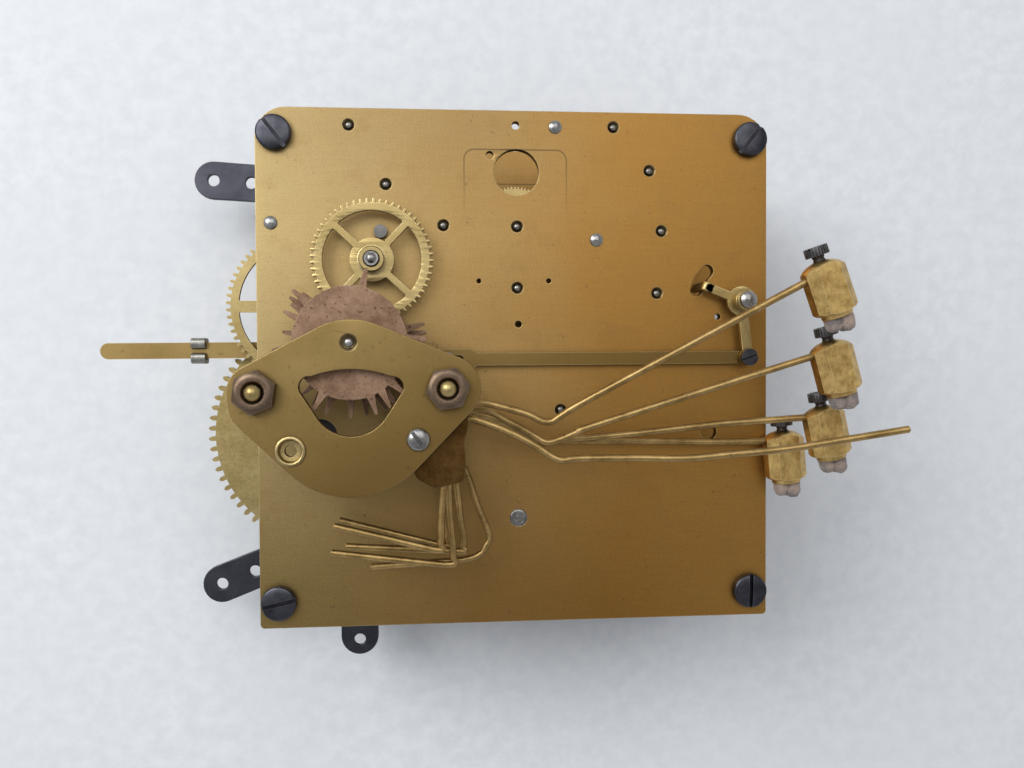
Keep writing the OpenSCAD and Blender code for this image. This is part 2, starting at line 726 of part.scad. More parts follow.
module hammer_arbor() color("#b9bcc0") difference() {
  union() {
    rod(hammer_c, back_in_z, above(nut_z) + eps, hammer_arbor_r);
    rod(hammer_c, above(nut_z), above(nut_z + arbor_head_h), arbor_head_r);
  }
  slot_cut(hammer_c, above(nut_z + arbor_head_h), arbor_head_r, arbor_slot_depth, arbor_slot_w, arbor_slot_a);
}

// Barrels: a shell with its great wheel, a cap, a mainspring and a winding arbor with its ratchet
core_r = 5.6;
spring_turns = 8;
spring_turn_steps = 20;
spring_core_gap = 0.8;
spring_wall_gap = 0.3;
spring_end_gap = 0.5;

module cap(c, z, r, t) difference() {
  rod(c, z, z + t, r - barrel_wall - seat_clear);
  rod(c, z - 1, z + t + 1, winding_r + run_clear);
}

// Flat spiral strip from the core to the wall
module mainspring(c, z0, z1, r) {
  inner = core_r + spring_core_gap;
  outer = r - barrel_wall - spring_t - spring_wall_gap;
  steps = spring_turn_steps * spring_turns;
  function spiral(k, side) =
    polar(inner + (outer - inner) * k / steps + side, k * 360 / spring_turn_steps);
  translate([c.x, c.y, z0])
    linear_extrude(z1 - z0)
      polygon(concat([for (k = [0:steps]) spiral(k, 0)], [for (k = [steps:-1:0]) spiral(k, spring_t)]));
}

ratchet_z1 = dial_z - ratchet_gap;
ratchet_z0 = ratchet_z1 - ratchet_t;

module ratchet(c) {
  translate([c.x, c.y, ratchet_z0])
    linear_extrude(ratchet_t)
      polygon([
        for (i = [0:ratchet_teeth - 1])
          let (a = i * 360 / ratchet_teeth)
          each [polar(ratchet_r, a), polar(ratchet_root_r, a + ratchet_face_a)]
      ]);
}

// The arbor runs from its back pivot to the end of its winding square
module winding_arbor(c, back_r, back_end, core_z, neck_z) {
  rod(c, front_in_z + end_shake, neck_z, winding_r);
  rod(c, core_z[0], core_z[1], core_r);
  rod(c, neck_z - 1, back_end, back_r);
  rod(c, ratchet_z0, front_in_z + 1, winding_pivot_r);
  translate([c.x - winding_sq / 2, c.y - winding_sq / 2, 0]) cube([winding_sq, winding_sq, ratchet_z0 + eps]);
  ratchet(c);
}

// Click that lies against a ratchet tooth at angle a
click_pivot_r = 12;
click_pivot_a = 40;
click_bore_wall = 1.4;
// Outline of the click's arm as radius from the ratchet's centre and angle past the tooth
click_form = [
  [ratchet_root_r + 0.35, 2.5], [ratchet_r + 0.35, 15], [click_pivot_r - 1.8, click_pivot_a - 4],
  [click_pivot_r + 1.6, click_pivot_a - 2], [ratchet_r + 2.2, 18], [ratchet_r + 0.6, 2.2]
];
chime_click_a = 45;
going_click_a = 15;
chime_click_c = chime_barrel_c + polar(click_pivot_r, chime_click_a + click_pivot_a);
going_click_c = going_barrel_c + polar(click_pivot_r, going_click_a + click_pivot_a);

module click(c, a) {
  hub = click_stud_r + click_bore_wall;
  translate([c.x, c.y, ratchet_z0]) linear_extrude(ratchet_t) difference() {
    union() {
      polygon([for (p = click_form) polar(p[0], a + p[1])]);
      translate(polar(click_pivot_r, a + click_pivot_a)) circle(r = hub);
    }
    translate(polar(click_pivot_r, a + click_pivot_a)) circle(r = click_stud_r + run_clear);
  }
}

// Chime train
chime_great_n = 68;
chime_second_n = 64;
chime_second_leaves = 8;
chime_third_n = 54;
chime_third_leaves = 8;
chime_warning_n = 45;
chime_warning_leaves = 9;
chime_fly_leaves = 9;
ratio_n = 57;
drum_n = 25;
ratio_arbor_r = 1.6;
ratio_z = 3;
ratio_t = 1.2;
ratio_collar_r = 2.9;
ratio_collar_h = 2.3;
ratio_collar_low = 1;
ratio_arbor_h = 3;
great_m = module_of(chime_barrel_c, chime_second_c, chime_great_n, chime_second_leaves);
second_m = module_of(chime_second_c, chime_third_c, chime_second_n, chime_third_leaves);
chime_third_m = module_of(chime_third_c, chime_warning_c, chime_third_n, chime_warning_leaves);
warning_m = module_of(chime_warning_c, chime_fly_c, chime_warning_n, chime_fly_leaves);
ratio_m = module_of(chime_third_c, drum_c, ratio_n, drum_n);
chime_floor_z = at_depth(chime_great_d + great_t);
barrel_end_gap = 2;
chime_end_z = front_in_z + barrel_end_gap;
cap_t = 1.2;

module great_wheel(c, n, m, phase, z) difference() {
  translate([c.x, c.y, z])
    linear_extrude(great_t) polygon(tooth_outline(n, m, wheel_form, wheel_tooth_share, phase));
  rod(c, z - 1, z + great_t + 1, winding_r + run_clear);
}

module chime_barrel() color("#b08c40") {
  great_wheel(chime_barrel_c, chime_great_n, great_m, heading(chime_barrel_c, chime_second_c), chime_floor_z);
  difference() {
    rod(chime_barrel_c, chime_end_z, chime_floor_z + eps, chime_drum_r);
    rod(chime_barrel_c, chime_end_z - 1, chime_floor_z + 1, chime_drum_r - barrel_wall);
  }
}

module chime_barrel_cap() color("#c19a45") cap(chime_barrel_c, chime_end_z, chime_drum_r, cap_t);

module chime_mainspring() color("#55585f")
  mainspring(chime_barrel_c, chime_end_z + cap_t + spring_end_gap, chime_floor_z - spring_end_gap,
             chime_drum_r);

module chime_winding_arbor() color("#44464d")
  winding_arbor(chime_barrel_c, winding_r, back_z - sink_depth / 2,
                [chime_end_z + cap_t + end_shake, chime_floor_z - end_shake], back_in_z);

module chime_click() color("#8d8f94") click(chime_barrel_c, chime_click_a);

module chime_second_wheel() color("#c9a75a") {
  train_arbor(chime_second_c);
  train_pinion(chime_second_c, chime_barrel_c, chime_second_leaves, great_m, chime_great_d, great_t);
  train_wheel(chime_second_c, chime_second_n, second_m, heading(chime_second_c, chime_third_c),
              chime_second_d, spoke_w = 2.7, spoke_a = 0);
}

module chime_third_wheel() color("#c3a050") {
  train_arbor(chime_third_c);
  rod(chime_third_c, back_in_z - 1, above(ratio_z + ratio_t + ratio_arbor_h), ratio_arbor_r);
  train_pinion(chime_third_c, chime_second_c, chime_third_leaves, second_m, chime_second_d);
  train_wheel(chime_third_c, chime_third_n, chime_third_m, heading(chime_third_c, chime_warning_c),
              chime_third_d);
}

module chime_ratio_wheel() color("#c6a352") difference() {
  union() {
    wheel(chime_third_c, ratio_n, ratio_m, heading(chime_third_c, drum_c), above(ratio_z), ratio_t,
          hub = 5, spoke_w = 1.5, spoke_a = 47);
    rod(chime_third_c, above(ratio_z - ratio_collar_low), above(ratio_z + ratio_t + ratio_collar_h),
        ratio_collar_r);
  }
  rod(chime_third_c, above(0), above(ratio_z + ratio_t + ratio_arbor_h), ratio_arbor_r + seat_clear);
}

// The drum's gear has wheel teeth, with a space where the ratio wheel has a tooth
module drum_gear() color("#b8944a") difference() {
  union() {
    translate([drum_c.x, drum_c.y, above(ratio_z)])
      linear_extrude(ratio_t)
        polygon(tooth_outline(drum_n, ratio_m, wheel_form, wheel_tooth_share,
                              leaf_phase(chime_third_c, drum_c, drum_n)));
    rod(drum_c, above(drum_foot), above(ratio_z) + eps, drum_boss_r);
  }
  rod(drum_c, above(0), above(ratio_z + ratio_t + 1), drum_arbor_r + seat_clear);
}

// Angles of the spikes on each chime disc, from the lowest disc up
disc_spikes = [
  [10, 135, 170, 225, 280, 330], [16, 148, 188, 236, 294, 345], [5, 155, 212, 268, 320],
  [352, 142, 200, 250, 305], [3, 77, 136, 184, 242, 291, 303, 316]
];
disc_heights = [for (k = [0:len(disc_spikes) - 1]) first_lever_h + k * hammer_pitch];
// Half widths of a spike at its root and at its tip
spike_w = 0.9;
spike_tip_w = 0.38;
spike_root = 1;
disc_offset = 0.2;
drum_core_r = 3.4;
drum_boss_r = 3.2;
drum_foot = 1;

module chime_disc(z, angles) {
  layer(z, disc_t) translate(drum_c) {
    circle(r = disc_r);
    for (a = angles)
      rotate(a)
        polygon([
          [disc_r - spike_root, -spike_w], [spike_r, -spike_tip_w],
          [spike_r, spike_tip_w], [disc_r - spike_root, spike_w]
        ]);
  }
}

module chime_drum() color("#8a5f45") {
  lift = (lever_t - disc_t) / 2 + disc_offset;
  top = len(disc_heights) - 1;
  rod(drum_c, above(drum_foot), above(bridge_h - end_shake), drum_arbor_r);
  rod(drum_c, back_in_z, above(nut_z - sink_depth / 2), drum_pivot_r);
  rod(drum_c, above(disc_heights[0] + lift), above(disc_heights[top] + lift), drum_core_r);
  for (i = [0:top]) chime_disc(above(disc_heights[i] + lift), disc_spikes[i]);
}

module chime_warning_wheel() color("#c3a050") {
  train_arbor(chime_warning_c);
  train_pinion(chime_warning_c, chime_third_c, chime_warning_leaves, chime_third_m, chime_third_d);
  train_wheel(chime_warning_c, chime_warning_n, warning_m, heading(chime_warning_c, chime_fly_c),
              chime_warning_d);
}

module chime_fly() color("#b9bcc0") {
  train_arbor(chime_fly_c);
  train_pinion(chime_fly_c, chime_warning_c, chime_fly_leaves, warning_m, chime_warning_d);
  vane(chime_fly_c, chime_vane_d);
}

// Going train and motion work
going_great_n = 66;
intermediate_n = 54;
intermediate_leaves = 8;
centre_n = 75;
centre_leaves = 14;
third_n = 50;
third_leaves = 10;
fourth_n = 76;
fourth_leaves = 10;
fourth_r = 10;
fourth_t = 0.9;
cannon_n = 14;
minute_n = 42;
minute_leaves = 10;
hour_n = 40;
going_back_r = 2;
going_m = module_of(going_barrel_c, intermediate_c, going_great_n, intermediate_leaves);
intermediate_m = module_of(intermediate_c, centre_c, intermediate_n, centre_leaves);
centre_m = module_of(centre_c, third_c, centre_n, third_leaves);
third_m = module_of(third_c, fourth_c, third_n, fourth_leaves);
cannon_m = module_of(centre_c, minute_c, cannon_n, minute_n);
hour_m = module_of(centre_c, minute_c, hour_n, minute_leaves);
going_great_z = at_depth(going_great_d + great_t);
going_top_z = at_depth(going_drum_d);

module going_barrel() color("#b08c40") {
  great_wheel(going_barrel_c, going_great_n, going_m, heading(going_barrel_c, intermediate_c), going_great_z);
  difference() {
    rod(going_barrel_c, going_great_z + great_t - eps, going_top_z, going_drum_r);
    rod(going_barrel_c, going_great_z + 1, going_top_z + 1, going_drum_r - barrel_wall);
  }
}

module going_barrel_cap() color("#c19a45") cap(going_barrel_c, going_top_z - cap_t, going_drum_r, cap_t);

module going_mainspring() color("#55585f")
  mainspring(going_barrel_c, going_great_z + great_t + spring_end_gap, going_top_z - cap_t - spring_end_gap,
             going_drum_r);

module going_winding_arbor() color("#7d8086")
  winding_arbor(going_barrel_c, going_back_r, back_z,
                [going_great_z + great_t + end_shake, going_top_z - cap_t - end_shake],
                going_top_z + spring_end_gap);

module going_click() color("#8d8f94") click(going_barrel_c, going_click_a);

module intermediate_wheel() color("#c3a050") {
  train_arbor(intermediate_c);
  train_pinion(intermediate_c, going_barrel_c, intermediate_leaves, going_m, going_great_d, great_t);
  train_wheel(intermediate_c, intermediate_n, intermediate_m, heading(intermediate_c, centre_c),
              intermediate_d, spoke_w = 2.2);
}

module centre_wheel() color("#c3a050") {
  rod(centre_c, 0, dial_z - cannon_end + eps, hand_tip_r);
  rod(centre_c, dial_z - cannon_end, back_in_z - 1, centre_arbor_r);
  rod(centre_c, front_in_z + end_shake, back_in_z - end_shake, centre_shaft_r);
  rod(centre_c, back_in_z - 1, back_z - sink_depth / 2, pivot_r);
  train_pinion(centre_c, intermediate_c, centre_leaves, intermediate_m, intermediate_d);
  train_wheel(centre_c, centre_n, centre_m, heading(centre_c, third_c), centre_d, spoke_w = 2);
}

module third_wheel() color("#c3a050") {
  train_arbor(third_c);
  train_pinion(third_c, centre_c, third_leaves, centre_m, centre_d);
  train_wheel(third_c, third_n, third_m, heading(third_c, fourth_c), third_d);
}

// Short arbor between the back plate and the cock
module fourth_wheel() color("#d0ad5c") {
  cock_z = at_depth(cock_d);
  rod(fourth_c, cock_z + end_shake, back_in_z - end_shake, arbor_r);
  rod(fourth_c, cock_z - cock_t, back_z - sink_depth / 2, pivot_r);
  train_pinion(fourth_c, third_c, fourth_leaves, third_m, third_d);
  wheel(fourth_c, fourth_n, 2 * fourth_r / fourth_n, 0, at_depth(fourth_d + fourth_t), fourth_t,
        hub = 3, spoke_w = 1.2, spoke_a = 20);
  collet(fourth_c, at_depth(fourth_d + fourth_t + collet_below), at_depth(fourth_d - collet_above));
}

module cannon_pinion() color("#b9bcc0") difference() {
  union() {
    pinion(centre_c, cannon_n, cannon_m, heading(minute_c, centre_c) + 180 + 180 / cannon_n,
           dial_z - cannon_z[1], dial_z - cannon_z[0]);
    rod(centre_c, dial_z - cannon_end, dial_z - hour_end + eps, minute_seat_r);
    rod(centre_c, dial_z - hour_end, dial_z - cannon_z[1] + eps, cannon_r);
  }
  rod(centre_c, -1, dial_z + 1, centre_arbor_r + seat_clear);
}

module minute_wheel() color("#c9a75a") difference() {
  union() {
    wheel(minute_c, minute_n, cannon_m, heading(minute_c, centre_c), dial_z - minute_z - motion_t, motion_t,
          hub = 3.4, spoke_w = 1.8, spoke_a = 0);
    pinion(minute_c, minute_leaves, hour_m, leaf_phase(centre_c, minute_c, minute_leaves),
           dial_z - minute_leaf_end, dial_z - minute_z - motion_t + eps);
  }
  rod(minute_c, dial_z - minute_leaf_end - 1, dial_z, minute_stud_r + run_clear);
}

module hour_wheel() color("#c9a75a") difference() {
  union() {
    wheel(centre_c, hour_n, hour_m, heading(centre_c, minute_c), dial_z - hour_z - motion_t, motion_t,
          hub = 4.2, spoke_w = 1.8, spoke_a = 20);
    rod(centre_c, dial_z - hour_end, dial_z - hour_z - eps, hour_r);
  }
  rod(centre_c, 0, dial_z, cannon_r + run_clear);
}

// Strike train, whose barrel is off
strike_pin_n = 60;
strike_pin_leaves = 14;
strike_pin_m = 0.86;
strike_second_n = 54;
strike_second_leaves = 8;
strike_third_n = 45;
strike_third_leaves = 9;
strike_fly_leaves = 9;
star_r = 9.3;
star_root_r = 6.6;
star_n = 8;
star_t = 1.2;
star_root_a = 12;
star_tip_a = 2;
pin_m = module_of(strike_pin_c, strike_second_c, strike_pin_n, strike_second_leaves);
strike_second_m = module_of(strike_second_c, strike_third_c, strike_second_n, strike_third_leaves);
strike_third_m = module_of(strike_third_c, strike_fly_c, strike_third_n, strike_fly_leaves);

module star(c, z) {
  translate([c.x, c.y, z])
    linear_extrude(star_t)
      polygon([
        for (i = [0:star_n - 1])
          let (a = i * 360 / star_n)
          each [
            polar(star_root_r, a - star_root_a), polar(star_r, a - star_tip_a),
            polar(star_r, a + star_tip_a), polar(star_root_r, a + star_root_a)
          ]
      ]);
}

module strike_pin_wheel() color("#c3a050") {
  train_arbor(strike_pin_c);
  train_pinion(strike_pin_c, strike_barrel_c, strike_pin_leaves, strike_pin_m, strike_great_d, great_t);
  train_wheel(strike_pin_c, strike_pin_n, pin_m, heading(strike_pin_c, strike_second_c), strike_pin_d);
  star(strike_pin_c, at_depth(strike_star_d + star_t));
  collet(strike_pin_c, at_depth(strike_star_d + star_t + collet_below), at_depth(strike_star_d));
}

module strike_second_wheel() color("#c3a050") {
  train_arbor(strike_second_c);
  train_pinion(strike_second_c, strike_pin_c, strike_second_leaves, pin_m, strike_pin_d);
  train_wheel(strike_second_c, strike_second_n, strike_second_m, heading(strike_second_c, strike_third_c),
              strike_second_d);
}

module strike_third_wheel() color("#c3a050") {
  train_arbor(strike_third_c);
  train_pinion(strike_third_c, strike_second_c, strike_third_leaves, strike_second_m, strike_second_d);
  train_wheel(strike_third_c, strike_third_n, strike_third_m, heading(strike_third_c, strike_fly_c),
              strike_third_d);
}

module strike_fly() color("#b9bcc0") {
  train_arbor(strike_fly_c);
  train_pinion(strike_fly_c, strike_third_c, strike_fly_leaves, strike_third_m, strike_third_d);
  vane(strike_fly_c, strike_vane_d);
}

// Strike crank with a tab that reaches through its slot, and the bar that it pulls
module strike_crank() color("#b59247") {
  tab = crank_c + polar(crank_slot_r - tab_seat, tab_a);
  low_d = plate_t + tab_reach;
  difference() {
    union() {
      layer(above(crank_plate_z), crank_t) {
        translate(crank_c) circle(r = crank_plate_r);
        bar_outline([crank_c, crank_arm_tip], crank_arm_w);
        bar_outline([crank_c, tab], tab_arm_w);
        translate(crank_arm_tip) circle(r = crank_eye_r);
      }
      rod(crank_c, above(crank_hub_h[0]), above(crank_hub_h[1]), crank_hub_r);
      translate([tab.x, tab.y, at_depth(low_d)])
        rotate(tab_a)
          translate([-tab_t / 2, -tab_w / 2, 0]) cube([tab_t, tab_w, low_d + crank_plate_z + crank_t]);
    }
    rod(crank_c, above(-1), above(crank_hub_h[1] + 1), crank_stud_r + run_clear);
    rod(crank_arm_tip, above(0), above(crank_plate_z + crank_t + 1), lift_screw_r + seat_clear);
  }
}

module lift_bar() color("#b8964c") {
  pad_w = 2 * (lift_guide_r + lift_pad_wall);
  slot_w = 2 * (lift_guide_r + lift_guide_clear);
  pad_over = lift_pad_l - lift_slot_over;
  layer(above(lift_z), lift_t) difference() {
    union() {
      bar_outline([crank_arm_tip, [lift_end_x, lift_guide_c.y]], lift_w);
      bar_outline([lift_guide_c - [lift_pad_l, 0], lift_guide_c + [lift_travel + pad_over, 0]], pad_w);
    }
    translate(crank_arm_tip) circle(r = lift_screw_r + lift_hole_clear);
    bar_outline([lift_guide_c - [lift_slot_over, 0], lift_guide_c + [lift_travel + lift_slot_over, 0]],
                slot_w);
  }
  translate([lift_end_x - lift_hook_t / 2, lift_guide_c.y - lift_w / 2, above(lift_z)])
    cube([lift_hook_t, lift_w, lift_hook_h + lift_t]);
}

module lift_bar_screw() color("#3a3a40") {
  low = above(crank_plate_z + crank_t);
  top = low + lift_screw_head_h;
  difference() {
    union() {
      rod(crank_arm_tip, above(lift_z - lift_screw_foot), low + eps, lift_screw_r);
      rod(crank_arm_tip, low, top, lift_screw_head_r);
    }
    slot_cut(crank_arm_tip, top, lift_screw_head_r, lift_screw_slot_depth, lift_screw_slot_w,
             lift_screw_slot_a);
  }
}

module silent_lever() color("#a88b4a") layer(at_depth(silent_d + silent_t), silent_t) difference() {
  union() {
    bar_outline([silent_pivot, [silent_tip_x + silent_w / 2, silent_y]], silent_w);
    translate(silent_pivot) circle(r = silent_stud_r + silent_eye_w);
  }
  translate(silent_pivot) circle(r = silent_stud_r + run_clear);
}

// Split spring clip round the silent lever
module lever_clip() color("#8f9091") {
  mid_z = at_depth(silent_d + silent_t / 2);
  translate([clip_x[0], silent_y, mid_z])
    rotate([90, 0, 90])
      linear_extrude(clip_x[1] - clip_x[0]) difference() {
        bar_outline([[-(clip_w - clip_h) / 2, 0], [(clip_w - clip_h) / 2, 0]], clip_h);
        square([silent_w, silent_t] + clip_room, center = true);
        translate([-clip_slit / 2, 0]) square([clip_slit, clip_h]);
      }
}

// Tube along a route, with bends rounded by a spline through its points
function curve_point(p, i, t) =
  let (a = p[max(i - 1, 0)], b = p[i], c = p[i + 1], d = p[min(i + 2, len(p) - 1)])
  0.5 * (2 * b + (c - a) * t + (2 * a - 5 * b + 4 * c - d) * t * t + (3 * b - a - 3 * c + d) * t * t * t);
function straight_point(p, i, t) = p[i] + (p[i + 1] - p[i]) * t;
function fillet_route(p) = concat(
  [
    for (i = [0:len(p) - 2])
      for (k = [0:bend_steps - 1])
        norm(p[i + 1] - p[i]) > straight_l
          ? straight_point(p, i, k / bend_steps)
          : curve_point(p, i, k / bend_steps)
  ],
  [p[len(p) - 1]]
);
function unit(v) = v / norm(v);
function ring(p, i, r) =
  let (n = len(p), dir = unit(p[min(i + 1, n - 1)] - p[max(i - 1, 0)]))
  let (side = unit(cross([0, 0, 1], dir)), up = cross(dir, side))
  [
    for (k = [0:tube_sides - 1])
      let (q = polar(r, k * 360 / tube_sides))
      p[i] + q[0] * side + q[1] * up
  ];

module tube(p, r) {
  n = len(p);
  s = tube_sides;
  points = [for (i = [0:n - 1]) each ring(p, i, r)];
  walls = [
    for (i = [0:n - 2]) for (k = [0:s - 1])
      let (a = i * s + k, b = i * s + (k + 1) % s)
      each [[a, a + s, b + s], [a, b + s, b]]
  ];
  ends = [[for (k = [0:s - 1]) k], [for (k = [s - 1:-1:0]) (n - 1) * s + k]];
  polyhedron(points = points, faces = concat(walls, ends));
}

function lever_mid(i) = above(hammer_heights[i] + lever_t / 2);
function rod_route(i) = [for (q = rods[i]) [q.x, q.y, lever_mid(i) + q.z]];
function tail_route(i) = [for (q = tails[i]) [q.x, q.y, lever_mid(i)]];

module hammer(i) {
  z = above(hammer_heights[i]);
  hub_top = i == 4 ? top_hub_h : hub_h;
  difference() {
    union() {
      layer(z, lever_t) polygon(lever_points);
      rod(hammer_c, z, z + hub_top, hub_r);
      tube(fillet_route(rod_route(i)), rod_r);
      tube(fillet_route(tail_route(i)), tail_r);
    }
    rod(hammer_c, z - 1, z + hub_h + 1, hammer_arbor_r + run_clear);
  }
}

// The end of a hammer's rod as two points, which the head's bore follows
function rod_end(i) = let (p = rod_route(i), n = len(p)) [p[n - 2], p[n - 1]];

// Places a head's own frame: X across, Y along the stroke towards the screw, Z up
module in_head(i) {
  h = heads[i];
  translate([h[0].x, h[0].y, lever_mid(i) + h[1]]) rotate(h[2]) children();
}

module head_body() {
  c = head_chamfer;
  w = head_w / 2;
  t = head_t / 2;
  neck = head_neck_w / 2;
  rotate([90, 0, 0]) {
    translate([0, 0, -head_l / 2 + head_notch_h])
      linear_extrude(head_l - 2 * head_notch_h)
        polygon([
          [w, t - c], [w - c, t], [c - w, t], [-w, t - c],
          [-w, c - t], [c - w, -t], [w - c, -t], [w, c - t]
        ]);
    translate([0, 0, -head_l / 2]) cylinder(r = neck, h = head_l);
  }
}

module hammer_head(i) color("#bf9440") {
  end = rod_end(i);
  along = unit(end[1] - end[0]);
  difference() {
    in_head(i) head_body();
    strut(end[0] - along, end[1] + bore_over * along, rod_r + seat_clear);
    in_head(i) rotate([-90, 0, 0]) cylinder(r = set_screw_r + seat_clear, h = head_l);
    in_head(i) translate([0, leather_seat - head_l / 2, 0])
      rotate([90, 0, 0]) cylinder(r = leather_r + seat_clear, h = head_l);
  }
  set_screw(i);
}

// The set screw stops just above the rod
module set_screw(i) {
  low = head_rod_y(i) + rod_r + set_screw_gap;
  in_head(i) rotate([-90, 0, 0]) {
    translate([0, 0, low]) cylinder(r = set_screw_r, h = head_l / 2 + set_screw_neck - low + eps);
    translate([0, 0, head_l / 2 + set_screw_neck]) cylinder(r = set_screw_head_r, h = set_screw_head_h);
  }
}

// How far up the head the rod crosses its middle line
function head_rod_y(i) =
  let (h = heads[i], end = rod_end(i))
  let (a = [end[0].x, end[0].y] - h[0])
  let (d = [end[1].x - end[0].x, end[1].y - end[0].y])
  let (ax = polar(1, h[2]), ay = polar(1, h[2] + 90))
  a * ay - (a * ax) * (d * ay) / (d * ax);

module hammer_leather(i) color("#8b7b74") in_head(i) {
  z0 = head_l / 2 - leather_seat;
  rotate([90, 0, 0]) {
    translate([0, 0, z0]) cylinder(r = leather_r, h = leather_l - leather_crown);
    dome([0, 0], z0 + leather_l - leather_crown - eps, leather_r, leather_crown);
  }
}

module hammer_1() color("#8f6344") hammer(0);
module hammer_2() color("#8f6344") hammer(1);
module hammer_3() color("#8f6344") hammer(2);
module hammer_4() color("#8f6344") hammer(3);
module hammer_5() color("#8f6344") hammer(4);

back_plate();
front_plate();
pillars();
pillar_screws();
mounting_straps();
strap_screw();
drum_bridge();
bridge_studs();
bridge_nuts();
bridge_bush();
hammer_arbor();
steel_studs();
fourth_wheel_cock();
chime_barrel();
chime_barrel_cap();
chime_mainspring();
chime_winding_arbor();
chime_click();
chime_second_wheel();
chime_third_wheel();
chime_ratio_wheel();
drum_gear();
chime_drum();
chime_warning_wheel();
chime_fly();
going_barrel();
going_barrel_cap();
going_mainspring();
going_winding_arbor();
going_click();
intermediate_wheel();
centre_wheel();
third_wheel();
fourth_wheel();
cannon_pinion();
minute_wheel();
hour_wheel();
strike_pin_wheel();
strike_second_wheel();
strike_third_wheel();
strike_fly();
strike_crank();
lift_bar();
lift_bar_screw();
silent_lever();
lever_clip();
hammer_1();
hammer_2();
hammer_3();
hammer_4();
hammer_5();
hammer_head(0);  // hammer_head_1
hammer_head(1);  // hammer_head_2
hammer_head(2);  // hammer_head_3
hammer_head(3);  // hammer_head_4
hammer_leather(0);  // hammer_leather_1
hammer_leather(1);  // hammer_leather_2
hammer_leather(2);  // hammer_leather_3
hammer_leather(3);  // hammer_leather_4
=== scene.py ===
"""Clock movement lying on its dial side with its back plate up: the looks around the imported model.

Shapes are built in millimetres as (points, faces) in the model's own frame and scaled to metres by piece().
"""
import json
import math
import random

import bmesh
import bpy
from mathutils import Matrix, Vector, noise


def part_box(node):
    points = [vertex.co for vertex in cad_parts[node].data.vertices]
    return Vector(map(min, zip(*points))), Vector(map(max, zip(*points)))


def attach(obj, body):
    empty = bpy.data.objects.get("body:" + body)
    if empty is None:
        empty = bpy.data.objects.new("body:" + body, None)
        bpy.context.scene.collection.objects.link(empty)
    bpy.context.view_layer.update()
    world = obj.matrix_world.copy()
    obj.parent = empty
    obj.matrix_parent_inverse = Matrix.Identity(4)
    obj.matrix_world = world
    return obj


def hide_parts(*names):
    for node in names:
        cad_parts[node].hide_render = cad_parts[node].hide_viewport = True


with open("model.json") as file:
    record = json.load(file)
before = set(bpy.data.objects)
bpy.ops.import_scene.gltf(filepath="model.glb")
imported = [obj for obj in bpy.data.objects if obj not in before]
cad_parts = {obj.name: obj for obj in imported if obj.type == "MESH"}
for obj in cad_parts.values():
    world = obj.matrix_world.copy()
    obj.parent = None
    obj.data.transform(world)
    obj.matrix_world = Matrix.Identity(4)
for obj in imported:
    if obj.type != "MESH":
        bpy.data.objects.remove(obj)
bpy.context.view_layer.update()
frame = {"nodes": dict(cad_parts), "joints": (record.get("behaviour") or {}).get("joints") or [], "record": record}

MM = 0.001


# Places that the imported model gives, in millimetres
def low_z(node):
    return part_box(node)[0].z / MM


def high_z(node):
    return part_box(node)[1].z / MM


BACK = high_z("back_plate")
BACK_IN = low_z("back_plate")
DIAL = low_z("front_plate")
BRIDGE_LOW = low_z("drum_bridge")
BRIDGE_TOP = high_z("drum_bridge")
PLATE_LOW, PLATE_HIGH = [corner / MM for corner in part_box("back_plate")]


def joint_places():
    """Centre of each turning body as (x, y)."""
    places = {}
    for joint in frame["joints"]:
        if "pos_m" in joint:
            places[joint["child"]] = Vector(joint["pos_m"][:2]) / MM
    return places


AT = joint_places()

# Places on the plates that no joint gives, in millimetres from the hand arbor
BRIDGE_STUDS = [(-56.5, -23.4), (-16.6, -22.9)]
BUSH = (-49.5, -35.7)
STRIKE_BARREL = (45.8, -34.35)
PLATFORM = (-0.1, 27)
CRANK_TIP = Vector((54.3, -16.5))
SHORT_POST = Vector((-31.6, 12.8))
PLATE_STUDS = [(-56.65, 14.8), (9.1, 37.6), (18.8, 11.3)]
# Small holes as x, y and radius
SMALL_HOLES = [
    (-9, 1.6, 0.57), (7.4, 1.65, 0.57), (0.2, -8.5, 0.8), (-6.3, 30.9, 0.93), (-0.2, 37.85, 0.94),
    (48, -6.8, 0.73),
]
PILLAR_INSET = Vector((4.4, 6.1))
PLATE_CORNER_R = 7
PLATE_LOW_CORNER_R = 1
DRUM_PIVOT_R = 0.9
SCREW_HOLE_R = 1.72
STUD_HOLE_R = 1.47
PIVOT_R = 0.7
PIVOT_HOLE_R = 0.75
SINK_R = 1.4
PIVOTS = [
    "chime_fly", "chime_warning", "chime_second", "intermediate", "centre", "third", "fourth",
    "strike_pin", "strike_second", "strike_third", "strike_fly",
]


# Shapes
def merge(*shapes):
    points, faces = [], []
    for new_points, new_faces in shapes:
        base = len(points)
        points += new_points
        faces += [[i + base for i in face] for face in new_faces]
    return points, faces


def placed(shape, matrix):
    return [matrix @ Vector(p) for p in shape[0]], shape[1]


def at(x, y, z=0.0, turn=0.0):
    """Matrix that turns by degrees about Z and then moves."""
    return Matrix.Translation((x, y, z)) @ Matrix.Rotation(math.radians(turn), 4, "Z")


def new_mesh(name, points, faces):
    mesh = bpy.data.meshes.new(name)
    mesh.from_pydata([tuple(p) for p in points], [], faces)
    return mesh


def new_object(name, data):
    made = bpy.data.objects.new(name, data)
    bpy.context.scene.collection.objects.link(made)
    return made


def temporary(shape):
    return new_object("temporary", new_mesh("temporary", *closed(shape)))


def mesh_shape(mesh):
    return [v.co.copy() for v in mesh.vertices], [list(p.vertices) for p in mesh.polygons]


